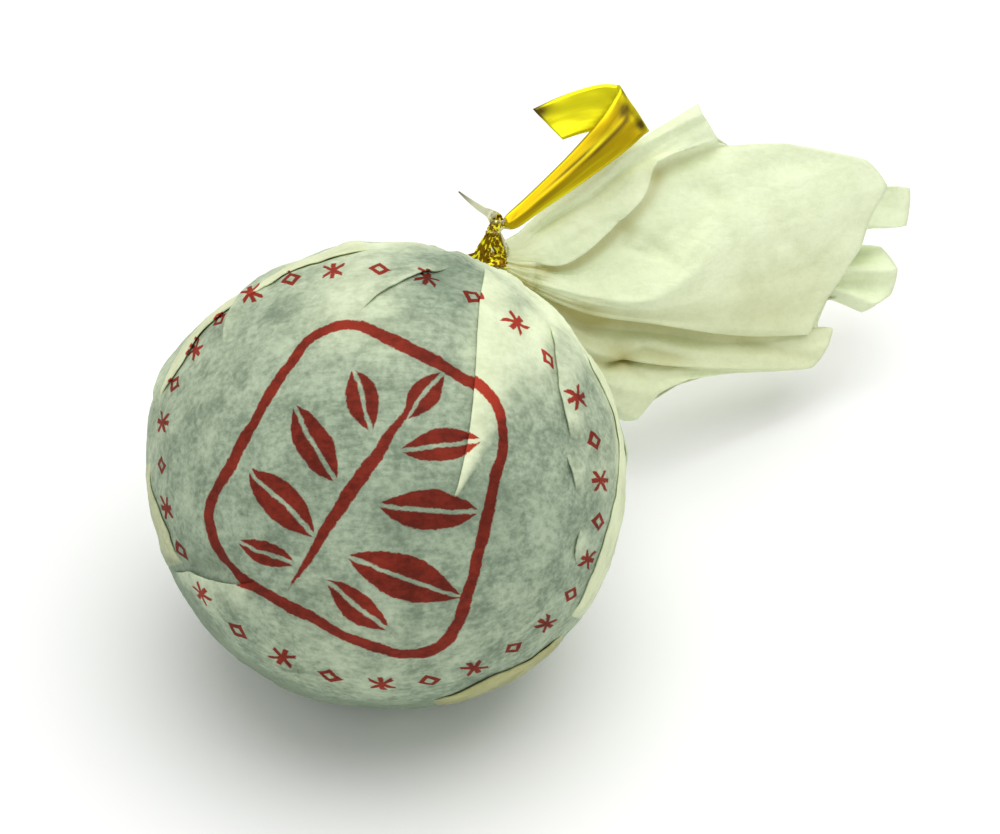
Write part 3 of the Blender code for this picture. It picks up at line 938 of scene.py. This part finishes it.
# Each front line: four places (right, up, height over the fan) from the neck out to the sheet's edge
FRONT_LINES = (
    ((9.6, 16.7, 0.2), (12.2, 18.5, 0.3), (15.4, 21.0, 0.3), (19.5, 23.55, 0.3)),
    ((9.8, 16.4, 0.9), (12.4, 18.2, 0.9), (15.6, 20.7, 1.0), (19.7, 23.0, 0.7)),
    ((10.0, 15.9, 0.9), (12.8, 17.7, 0.95), (16.0, 20.2, 0.8), (20.0, 22.6, 0.4)),
    ((10.2, 15.4, 1.4), (13.2, 17.2, 1.4), (16.5, 19.8, 1.2), (20.3, 22.1, 0.6)),
    ((10.6, 14.6, 1.8), (13.8, 16.9, 1.9), (16.4, 19.6, 1.3), (20.6, 21.6, 0.5)),
    ((11.4, 13.6, 1.9), (15.8, 17.4, 2.2), (17.2, 20.1, 1.5), (20.8, 21.15, 0.3)),
    ((10.8, 14.5, 0.8), (14.9, 18.1, 0.8), (16.3, 20.2, 0.5), (20.75, 21.2, 0.0)),
    ((11.9, 13.25, 0.5), (16.1, 16.9, 0.6), (17.8, 19.4, 0.2), (21.4, 21.0, -0.1)),
    ((12.4, 12.9, 0.9), (17.3, 15.9, 1.1), (20.3, 18.6, 0.8), (25.1, 21.15, 0.7)),
    ((12.6, 12.4, 1.1), (17.4, 14.5, 1.3), (22.2, 17.6, 1.5), (30.2, 20.15, 1.2)),
    ((12.8, 11.9, 1.5), (17.4, 12.7, 2.1), (22.0, 15.9, 2.1), (31.6, 18.5, 1.3)),
    ((13.0, 11.35, 1.8), (17.3, 11.4, 2.5), (21.5, 14.4, 2.4), (30.6, 16.6, 1.2)),
    ((13.0, 11.0, 1.6), (17.3, 10.8, 2.1), (22.6, 12.4, 1.9), (29.9, 14.6, 0.9)),
    ((12.9, 10.75, 1.4), (17.2, 10.4, 1.7), (22.6, 10.9, 1.4), (28.5, 12.4, 0.6)),
    ((12.8, 10.55, 1.2), (17.1, 10.05, 1.4), (22.3, 9.8, 1.1), (27.3, 10.5, 0.5)),
    ((12.4, 10.4, 1.1), (17.0, 9.7, 1.2), (22.2, 9.0, 0.8), (26.6, 9.1, 0.4)),
    ((11.9, 10.6, -0.3), (16.9, 9.9, -0.6), (22.0, 9.3, -0.3), (26.8, 9.5, -0.3)),
    ((12.1, 9.75, -0.7), (17.0, 9.1, -0.8), (22.2, 8.5, -0.4), (28.1, 9.5, -0.2)),
    ((12.2, 9.0, -0.3), (17.1, 8.3, 0.0), (22.4, 7.7, 0.2), (27.9, 8.4, 0.1)),
    ((12.2, 8.3, 0.2), (16.8, 7.2, 0.5), (22.0, 6.9, 0.4), (26.8, 6.95, 0.2)),
    ((12.4, 7.6, -0.5), (15.6, 7.4, -0.6), (18.2, 7.0, -0.3), (21.6, 6.6, 0.0)),
    ((12.5, 7.2, -0.2), (14.6, 6.6, 0.0), (16.6, 6.2, 0.0), (18.9, 6.2, 0.1)),
    ((12.5, 6.8, -0.3), (14.0, 5.9, 0.1), (15.4, 5.5, 0.2), (17.0, 5.3, 0.2)),
    ((12.4, 6.6, -0.8), (13.4, 5.2, -0.6), (14.6, 4.3, -0.3), (15.7, 3.7, -0.3)),
    ((12.2, 6.4, -1.2), (13.2, 4.9, -1.2), (14.1, 4.0, -1.1), (14.9, 3.6, -1.0)),
)
# The back layer has no deep folds, so it is four curves across the sheet, the last one its edge
BACK_CURVES = (
    ((9.6, 16.7, 0.2), (10.3, 15.4, -1.0), (11.2, 13.9, -1.2), (11.8, 12.1, -1.3), (12.0, 10.8, -1.3),
     (12.2, 9.2, -1.3), (12.2, 8.0, -1.4), (12.2, 6.4, -1.2)),
    ((12.2, 18.5, 0.3), (13.6, 17.4, -1.5), (15.8, 15.7, -2.0), (16.6, 13.5, -2.5), (16.7, 11.8, -2.4),
     (16.4, 9.8, -2.3), (15.4, 7.9, -2.0), (14.2, 6.4, -1.9), (13.2, 4.9, -1.2)),
    ((15.4, 21.0, 0.3), (18.0, 19.2, -1.5), (21.6, 17.8, -1.6), (23.8, 16.2, -2.2), (23.7, 14.2, -2.4),
     (24.2, 13.1, -2.3), (24.4, 12.3, -2.4), (22.8, 9.6, -2.2), (20.0, 7.4, -1.8), (17.4, 6.2, -1.6),
     (14.1, 4.0, -1.1)),
    ((19.5, 23.55, 0.3), (20.3, 21.8, -0.7), (22.6, 20.4, -1.2), (27.2, 19.8, -1.2), (30.6, 18.5, -1.7),
     (33.1, 18.4, -1.6), (32.9, 16.0, -1.6), (30.2, 15.8, -1.8), (29.9, 14.8, -1.6), (31.4, 14.6, -1.2),
     (32.4, 13.2, -0.8), (31.9, 11.6, -0.4), (30.1, 10.5, -0.5), (29.5, 11.5, -1.2), (27.9, 11.3, -1.7),
     (27.3, 9.9, -1.7), (27.2, 8.4, -1.5), (26.2, 7.3, -1.2), (21.8, 6.8, -1.2), (18.4, 5.9, -1.3),
     (14.9, 3.6, -1.0)),
)


def over_fan(place):
    """A place given by its height over the fan's own plane, as a place on the drawing plane."""
    right, up, height = place
    plane = NECK_FRONT + FAN_LEAN[0] * (right - NECK_RIGHT) + FAN_LEAN[1] * (up - NECK_UP)
    return Vector((right, up, plane + height))


FRONT_FOLDS = [[over_fan(line[step]) for line in FRONT_LINES] for step in range(4)]
BACK_FOLDS = [[over_fan(place) for place in curve] for curve in BACK_CURVES]
print("fold lines in front:", len(FRONT_LINES), "- places along the back edge:", len(BACK_CURVES[-1]))

# %% [markdown]
# Between the drawn lines the paper isn't dead smooth. Fine creases run out from the neck, where the
# sheet was squeezed, and a light crumple goes over the rest. Both are ridges in a noise, and they
# move the paper by a tenth of a millimetre or so. The larger creases in front are drawn one by one,
# and so are the olive spots, painted where the paper lies in shade. A bunched root joins the neck to
# the folds.

# %% Make the tail
TAIL_COLUMNS = 560
TAIL_ROWS = 84
TAIL_THICKNESS = 0.1
TAIL_START = -0.3
BEND_SOFTNESS = 0.4
TAIL_OUT = Vector((0.35, -0.2, 0.9))
BACK_WAVES = 2.6
TAIL_CREAM = 0.92
DEEPEST_OLIVE_SHADE = 0.85
CREASE_OLIVE_SHADE = 0.25
ROOT_MIDDLE = Vector((8.15, 13.45, -8.0))
ROOT_HEIGHT = Vector((-0.25, 1.75, 0))
ROOT_DEPTH = Vector((0.5, 0, 1.1))
ROOT_BUNCH = 0.5
# Each painted shaded fold: place among the front lines, half width in lines, end along the line, and shade
OLIVE_SHADE_FOLDS = (
    (6.8, 0.28, 1.0, 0.9),
    (2.4, 0.3, 1.2, 0.12),
    (16.2, 1.0, 1.15, 1.0),
    (13.6, 1.6, 0.75, 0.3),
    (13.6, 1.5, 1.8, 0.26),
    (18.6, 1.6, 1.9, 0.34),
    (20.1, 0.7, 0.9, 0.7),
    (22.0, 1.4, 1.6, 0.2),
)
# Each spot of painted olive shade: place (right, up), reach in mm and shade
OLIVE_SHADE_SPOTS = (
    ((8.4, 12.6), 1.2, 0.35),
    ((9.9, 12.9), 0.5, 0.45),
    ((12.4, 10.1), 1.2, 0.30),
    ((14.6, 7.6), 0.9, 0.35),
    ((17.5, 7.2), 1.3, 0.15),
    ((15.3, 15.6), 0.5, 0.35),
    ((16.8, 19.1), 0.6, 0.35),
    ((24.0, 10.6), 2.6, 0.17),
)
# Each crease of the tail: points (right, up), depth and half width in mm
TAIL_CREASES = (
    (((9.35, 13.4), (9.3, 12.4), (9.2, 11.2)), 0.45, 0.22),
    (((13.9, 15.0), (15.4, 14.5), (16.8, 14.0)), 0.36, 0.3),
    (((15.2, 15.6), (16.8, 14.7), (18.0, 13.4)), 0.34, 0.3),
    (((19.8, 13.2), (18.0, 12.2), (16.0, 11.0)), -0.22, 0.5),
    (((24.4, 16.75), (25.4, 15.0), (26.8, 14.2)), 0.22, 0.4),
    (((28.2, 15.0), (26.8, 13.4), (25.2, 12.6)), 0.28, 0.4),
    (((27.7, 14.2), (27.0, 12.2), (26.2, 10.4)), 0.22, 0.4),
    (((14.5, 16.0), (15.1, 14.9)), 0.30, 0.3),
    (((9.6, 16.0), (12.4, 17.4), (14.6, 19.0), (16.3, 20.0)), 0.22, 0.22),
    (((8.6, 15.2), (11.4, 16.5), (13.8, 18.0)), 0.14, 0.22),
    (((12.4, 16.3), (13.6, 16.0), (14.9, 16.3)), 0.18, 0.35),
    (((10.6, 14.4), (12.2, 15.4), (13.2, 15.4)), 0.12, 0.35),
    (((17.0, 19.3), (19.3, 20.1), (20.9, 20.8)), 0.42, 0.45),
    (((13.4, 6.75), (16.2, 7.9), (18.9, 7.25)), 0.45, 0.35),
    (((14.8, 7.75), (15.5, 6.6), (16.2, 6.1)), 0.30, 0.3),
    (((21.3, 9.0), (24.2, 8.2), (27.0, 7.4)), 0.25, 0.4),
    (((26.6, 16.4), (26.2, 14.9), (26.2, 13.6)), 0.20, 0.4),
    (((21.0, 12.0), (24.0, 12.6), (26.4, 14.0)), 0.20, 0.6),
    (((18.6, 18.6), (21.0, 17.6), (23.6, 17.8)), 0.15, 0.6),
)


def tail_relief(turn, share):
    """Creases that run out from the neck, and the sheet's light crumple."""
    spoke = Vector((math.cos(turn), math.sin(turn), 0))
    runs = noise.noise(spoke * 6 + Vector((0, 0, share * 1.2)))
    fine = noise.noise(spoke * 15 + Vector((0, 0, share * 2.2)))
    crumple = noise.noise(spoke * 3.5 + Vector((3, 7, share * 5)))
    small = noise.noise(spoke * 8 + Vector((5, 2, share * 11)))
    near = math.exp(-share / 0.2)
    ridges = (0.4 - abs(runs)) * (0.1 + 0.3 * near) + (0.4 - abs(fine)) * 0.14 * near
    return ridges + 0.34 * (0.3 - abs(crumple)) + 0.1 * (0.3 - abs(small))


def sheet_curve(places, share):
    """A place on a curve across the sheet, which bends mostly at the given places."""
    last = len(places) - 1
    first = min(int(share * last), last - 1)
    straight = places[first].lerp(places[first + 1], share * last - first)
    return straight.lerp(along(places, share), BEND_SOFTNESS)


def spoke_places(around):
    """(turn, places of the sheet from the neck out) at a share of the way round the sheet."""
    back = around > 0.5
    folds = BACK_FOLDS if back else FRONT_FOLDS
    share = 2 * (1 - around) if back else 2 * around
    turn = -math.pi * share if back else math.pi * share
    start = neck_place(turn, TAIL_START, 0.06)
    bunched = math.copysign(math.pi * share ** (1 if back else ROOT_BUNCH), turn)
    root = ROOT_MIDDLE + turned_by(bunched, ROOT_HEIGHT, ROOT_DEPTH)
    return turn, [start, root] + [sheet_curve(step, share) for step in folds]


def fading_ends(share):
    return math.sin(math.pi * (0.15 + 0.7 * share))


def tail_shade(turn, share, place):
    """The painted olive shade in the deep folds and at the neck."""
    line = turn / math.pi * (len(FRONT_LINES) - 1)
    shade = 0.3 * math.exp(-share / 0.12)
    for middle, half_width, end, gain in OLIVE_SHADE_FOLDS:
        shade += gain * hill(line - middle, half_width) * max(0.0, 1 - share / end) ** 0.7
    if turn > 0:
        shade += spots(place.x, place.y, OLIVE_SHADE_SPOTS)
    return min(shade, DEEPEST_OLIVE_SHADE)


def tail_place(share, places, turn):
    """(place of the sheet, depth of its creases there)."""
    place = along(places, share)
    lift = tail_relief(turn, share) * min(1.0, share * 3)
    if turn < 0:
        waves = noise.noise(Vector((math.cos(turn) * 4, 9, share * 0.8)))
        depth = BACK_WAVES * abs(waves) * math.sin(-turn) * min(1.0, share * 2)
        return place - lift * TAIL_OUT - Vector((0, 0, depth)), 0.0
    depth = crease_depth(place.x, place.y, TAIL_CREASES, fading_ends)
    return place + (lift - depth) * TAIL_OUT, depth


def fanned_tail():
    shape = bmesh.new()
    cream_and_shade, olive_shade = new_numbers(shape, "cream_and_shade", "olive_shade")
    bmesh.ops.create_grid(shape, x_segments=TAIL_COLUMNS, y_segments=TAIL_ROWS, size=0.5)
    spokes = {}
    for point in shape.verts:
        around = round(point.co.x + 0.5, 6)
        share = (point.co.y + 0.5) ** 1.15
        if around not in spokes:
            spokes[around] = spoke_places(around)
        turn, places = spokes[around]
        place, depth = tail_place(share, places, turn)
        point.co = to_model(place)
        point[cream_and_shade] = TAIL_CREAM
        # The creases get painted olive shade by their depth
        point[olive_shade] = tail_shade(turn, share, place) + CREASE_OLIVE_SHADE * depth
    bmesh.ops.remove_doubles(shape, verts=shape.verts, dist=0.001 * MM)
    new_piece("fanned_tail", shape, plain_paper, "paper", "paper_wrapper", wall=TAIL_THICKNESS)


fanned_tail()

# %% [markdown]
# ## The gold foil tie
# The tie is a strip of gold film. It is wound round the neck, its two ends are twisted together in
# front, and then they stand free: a thin pointed end on the left and a wide one that is folded back
# on itself at the top. A curve with a bevel would be round, so the strip is a long grid instead,
# carried along stations that each say where its middle lies and which way it is wide.

# %% The strip's path
BAND_WIDTH = 0.95
BAND_RADIUS = 1.42
BAND_START = math.radians(26)
BAND_TURNS = 1.64
BAND_PITCH = 0.4
BAND_STEPS = 110
BAND_MIDDLE = NECK + Vector((-0.2, -0.25, 0.2))
BAND_AXIS = (NECK_AXIS + Vector((-0.55, 0, 0.22))).normalized()
LEG_STEPS = 16
TWIST_RADIUS = 0.36
TWIST_WIDTH = 0.9
TWIST_TURNS = 0.75
TWIST_STEPS = 18
TWIST_FIRST = math.radians(-20)
LEG_HALF = 0.46
TWIST_BOTTOM = Vector((6.5, 15.3, -5.2))
TWIST_TOP = Vector((6.95, 16.1, -4.8))
CURVE_STEPS = 9
SOFTENINGS = 3
# Each station: middle of the strip, then half its width as a direction
THIN_END = (
    ((4.4, 17.95, -3.9), (0.02, 0.04, 0.0)),
    ((5.0, 17.45, -4.0), (0.08, 0.10, 0.0)),
    ((5.7, 16.95, -4.1), (0.12, 0.17, 0.0)),
    ((6.3, 16.6, -4.2), (0.14, 0.24, 0.0)),
)
WIDE_END = (
    ((7.7, 16.05, -4.9), (-0.36, 0.38, 0.0)),
    ((9.2, 17.25, -5.2), (-0.45, 0.48, 0.0)),
    ((11.7, 19.3, -5.8), (-0.65, 0.68, 0.1)),
    ((13.9, 21.3, -6.3), (-0.86, 0.90, 0.1)),
    ((15.1, 22.65, -6.8), (-0.90, 1.16, 0.0)),
    ((15.45, 23.2, -7.3), (-0.90, 1.36, 0.0)),
    ((14.8, 23.35, -7.75), (-0.50, 1.36, 0.0)),
    ((13.4, 23.3, -7.65), (-0.30, 1.40, 0.0)),
    ((11.6, 22.85, -7.25), (-0.62, 1.20, 0.0)),
    ((10.0, 22.2, -6.8), (-0.95, 0.96, 0.0)),
)


def as_stations(rows):
    return [(Vector(middle), Vector(half)) for middle, half in rows]


def steady(stations):
    """The same stations with no sudden half turn in the strip's width."""
    kept = [stations[0]]
    for middle, half in stations[1:]:
        kept.append((middle, -half if half.dot(kept[-1][1]) < 0 else half))
    return kept


def soften(stations):
    """The same stations with each kink shared out over its neighbours."""
    kept = [stations[0]]
    for before, here, after in zip(stations, stations[1:], stations[2:]):
        kept.append(tuple((a + 2 * b + c) / 4 for a, b, c in zip(before, here, after)))
    return kept + [stations[-1]]


def finer(stations):
    """More stations on smooth curves through the given ones."""
    stations = steady(stations)
    made = []
    for share in shares((len(stations) - 1) * CURVE_STEPS):
        made.append(tuple(along([station[part] for station in stations], share) for part in (0, 1)))
    return made


BAND_LEFT, BAND_FRONT = sideways(BAND_AXIS)


def band_stations():
    stations = []
    for share in shares(BAND_STEPS):
        rise = (share - 0.5) * BAND_TURNS * BAND_PITCH
        turn = BAND_START - BAND_TURNS * math.tau * share
        spoke = turned_by(turn, BAND_LEFT, BAND_FRONT)
        stations.append((BAND_MIDDLE + rise * BAND_AXIS + BAND_RADIUS * spoke, BAND_AXIS * BAND_WIDTH / 2))
    return stations


def twist_stations(start, end, first_turn, way):
    """One strand of the twist, from start to end round the twist's middle line."""
    left, front = sideways((TWIST_TOP - TWIST_BOTTOM).normalized())
    places = []
    spokes = []
    for share in shares(TWIST_STEPS):
        turn = first_turn + way * TWIST_TURNS * math.tau * share
        spokes.append(turned_by(turn, left, front))
        places.append(start.lerp(end, share) + TWIST_RADIUS * spokes[-1])
    stations = []
    for index, place in enumerate(places):
        way_on = places[min(index + 1, TWIST_STEPS)] - places[max(index - 1, 0)]
        stations.append((place, spokes[index].cross(way_on).normalized() * TWIST_WIDTH / 2))
    return stations


def leg_stations(band_end, twist_end):
    """Stations from the band to the twist, which leave the band level before they rise."""
    band_end, twist_end = steady([band_end, twist_end])
    way = twist_end[0] - band_end[0]
    wide = Vector((way.y, -way.x, 0)).normalized() * LEG_HALF
    wide = wide if wide.dot(band_end[1]) >= 0 else -wide
    rise = (twist_end[0] - band_end[0]).dot(BAND_AXIS) * BAND_AXIS
    stations = []
    for share in shares(LEG_STEPS)[1:-1]:
        middle = band_end[0].lerp(twist_end[0], share) - rise * (share - share**2)
        half = band_end[1].lerp(wide, min(1.0, share * 3)).lerp(twist_end[1], max(0.0, share * 4 - 3))
        stations.append((middle, half.normalized() * LEG_HALF))
    return stations


def strip_stations():
    """The whole strip from its thin end to its wide end, and where the band and the wide end start."""
    down = twist_stations(TWIST_TOP, TWIST_BOTTOM, TWIST_FIRST, -1)
    second_turn = TWIST_FIRST + math.pi - TWIST_TURNS * math.tau
    up = twist_stations(TWIST_BOTTOM, TWIST_TOP, second_turn, 1)
    band = band_stations()
    thin = finer(as_stations(THIN_END) + [down[0]])[:-1]
    wide = finer([up[-1]] + as_stations(WIDE_END))[1:]
    first_leg = leg_stations(band[0], down[-1])[::-1]
    crinkled = down + first_leg + band + leg_stations(band[-1], up[0]) + up
    stations = steady(thin + crinkled + wide)
    for _ in range(SOFTENINGS):
        stations = soften(stations)
    return stations, len(thin), len(thin) + len(crinkled)


STATIONS, CRINKLE_START, WIDE_START = strip_stations()
print("the strip has", len(STATIONS), "stations, and its wide end starts at", WIDE_START)

# %% [markdown]
# Metal film shows every dent as a dark or bright streak, because it mirrors the room. So the dents
# are real: a long ridge down the wide end, and a fine crinkle on the part that was twisted hard. The
# film is one metal with little roughness, and darker streaks are painted into its colour as painted
# dark reflections. Bright and dark specks on the crinkle are painted reflections of what it mirrors,
# and brown spots are painted dark reflections too. Where it was rubbed, the film is pale and clear.

# %% The gold finish
GOLD = (0.84, 0.78, 0.014, 1)
# The darker streaks are painted dark reflections
GOLD_DARK_REFLECTION = (0.50, 0.35, 0.005, 1)
GOLD_BROWN = (0.08, 0.05, 0.008, 1)
# Painted dark reflections and painted glints for the specks on the crinkle
GOLD_SHADE = (0.22, 0.11, 0.004, 1)
GOLD_GLINT = (1.0, 0.90, 0.03, 1)
CLEAR_GOLD = (0.82, 0.84, 0.62, 1)
# Stretch of the strip's flat places, then scale, detail and roughness of each noise on them
STREAKS = ((1.1, 0.3, 1), (1.2, 2.0, 0.5))
FINE_DENTS = ((4.0, 0.9, 1), (2.0, 3.0, 0.5))
GLITTER = ((2.2, 4.0, 1), (1.1, 2.0, 0.5))
FINE_WEIGHT = 0.35
GOLD_ROUGHNESS = (0.2, 0.24)
GOLD_RELIEF = (0.2, 0.08)
GOLD_METAL = 0.8
GOLD_SHINE = 0.15


def gold_film():
    made, shader = new_finish("gold_film")
    tree = made.node_tree
    sheet = add_node(tree, "ShaderNodeUVMap", {}, uv_map="strip").outputs[0]
    streaks, fine, glitter = [
        cloud(tree, mapped(tree, sheet, stretch), *numbers)
        for stretch, numbers in (STREAKS, FINE_DENTS, GLITTER)
    ]
    # Streaks of painted dark reflection, left off where the wide end is folded over
    bright = larger(ramp(tree, streaks, 0.48, 0.72), carried(tree, "folded"))
    colour = mix(tree, bright, GOLD_DARK_REFLECTION, GOLD)
    # The crinkle's specks are painted glints and painted dark reflections
    glittering = mix(tree, ramp(tree, glitter, 0.51, 0.58), GOLD_SHADE, GOLD_GLINT)
    colour = mix(tree, carried(tree, "crinkled"), colour, glittering)
    colour = mix(tree, carried(tree, "bare"), colour, CLEAR_GOLD)
    # Brown near the pointed tip, and painted dark reflections in the spots of the wide end
    colour = mix(tree, carried(tree, "brown_and_dark_reflection"), colour, GOLD_BROWN)
    rough = fine * GOLD_ROUGHNESS[0] + GOLD_ROUGHNESS[1]
    dress(shader, colour, rough, fine * FINE_WEIGHT + streaks, *GOLD_RELIEF)
    shader.inputs["Metallic"].default_value = GOLD_METAL
    shader.inputs["Specular IOR Level"].default_value = GOLD_SHINE
    return made


gold = gold_film()

# %% Make the tie
STRIP_COLUMNS = 12
FILM_THICKNESS = 0.07
RIDGE_PLACE = -0.1
RIDGE_HEIGHT = 0.16
CRINKLE_HEIGHT = 0.24
CRINKLE_LENGTH = 0.55
FILM_TOP = 15.7
FILM_BOTTOM = 13.7
FILM_LINE = 6.88
FILM_LEAN = 0.3
FILM_EDGE_WIDTH = 0.08
MOST_FILM = 0.85
MOST_DARK_REFLECTION = 0.95
# Where the wide end is folded over, the painted darker streaks leave off: how steeply that starts, and where
FOLD_STEEPNESS = 6
FOLD_START = 2.8
STRIP_UNIT = 12
CLEAR_FILM = 0.9
RUBBED_BEFORE = 12
RUBBED_AFTER = 4
# Each painted dark reflection spot on the wide end: share of its length, place across (-1 to 1), reach along
# and across
DARK_REFLECTION_SPOTS = (
    (0.50, 0.34, 0.040, 0.26),
    (0.53, -0.55, 0.040, 0.25),
    (0.41, 0.02, 0.11, 0.12),
    (0.30, 0.30, 0.07, 0.08),
    (0.20, -0.25, 0.08, 0.07),
    (0.60, 0.75, 0.03, 0.14),
    (1.00, 0.8, 0.05, 0.5),
)


def wide_share(index):
    """The share of the way along the wide end, and below 0 before it."""
    return (index - WIDE_START) / (len(STATIONS) - 1 - WIDE_START)


def strip_offset(index, across):
    """How far the film stands out of its flat strip."""
    if CRINKLE_START <= index <= WIDE_START:
        crinkle = noise.noise(Vector((index * CRINKLE_LENGTH, across * 2.4, 1)))
        return CRINKLE_HEIGHT * crinkle
    if index < CRINKLE_START:
        return 0.0
    share = wide_share(index)
    bend = math.sin(math.pi * min(1.0, share / 0.5)) if share < 0.5 else 0.25
    ridge = RIDGE_HEIGHT * bend * (1 - 1.6 * abs(across - RIDGE_PLACE))
    dents = 0.05 * noise.noise(Vector((share * 14, across * 2.2, 4)))
    return ridge + dents


def brown_amount(index, across):
    """How brown the film is, near its pointed tip and in the spots of the wide end, which are painted dark
    reflections.
    """
    if index < CRINKLE_START:
        return CLEAR_FILM * max(0.0, 1 - index / CRINKLE_START * 2.6)
    share = wide_share(index)
    amount = 0.0
    for spot, place, reach_along, reach_across in DARK_REFLECTION_SPOTS:
        gap = ((share - spot) / reach_along) ** 2 + ((across - place) / reach_across) ** 2
        amount = max(amount, math.exp(-gap))
    return min(amount * 1.3, MOST_DARK_REFLECTION)


def bare_amount(index, across, place):
    """The film is pale and clear where it was rubbed, on the thin end and by the twist."""
    if index < CRINKLE_START:
        return CLEAR_FILM
    if index > WIDE_START + RUBBED_AFTER:
        return 0.0
    film = 0.0
    if FILM_BOTTOM < place.y < FILM_TOP:
        line = FILM_LINE + FILM_LEAN * (FILM_TOP - place.y)
        film = limited((place.x - line) / FILM_EDGE_WIDTH, 0.0, MOST_FILM)
    if index > WIDE_START - RUBBED_BEFORE:
        film = max(film, 0.7 * max(0.0, abs(across) - 0.35))
    return film


def foil_tie():
    shape = bmesh.new()
    brown_and_dark_reflection, bare, folded, crinkled = new_numbers(shape, "brown_and_dark_reflection", "bare", "folded", "crinkled")
    uv = shape.loops.layers.uv.new("strip")
    last = len(STATIONS) - 1
    bmesh.ops.create_grid(shape, x_segments=STRIP_COLUMNS, y_segments=last, size=0.5)
    for face in shape.faces:
        for corner in face.loops:
            corner[uv].uv = (corner.vert.co.x * 2, corner.vert.co.y * last / STRIP_UNIT)
    for point in shape.verts:
        index = round((point.co.y + 0.5) * last)
        across = point.co.x * 2
        middle, half = STATIONS[index]
        ahead = STATIONS[min(index + 1, last)][0]
        behind = STATIONS[max(index - 1, 0)][0]
        normal = (ahead - behind).cross(half).normalized()
        place = middle + half * across + normal * strip_offset(index, across)
        point.co = to_model(place)
        point[brown_and_dark_reflection] = brown_amount(index, across)
        point[bare] = bare_amount(index, across, place)
        point[crinkled] = 1.0 if CRINKLE_START <= index <= WIDE_START else 0.0
        point[folded] = limited(wide_share(index) * FOLD_STEEPNESS - FOLD_START)
    new_piece("foil_tie", shape, gold, "gold_foil", "gold_tie", wall=FILM_THICKNESS)


foil_tie()
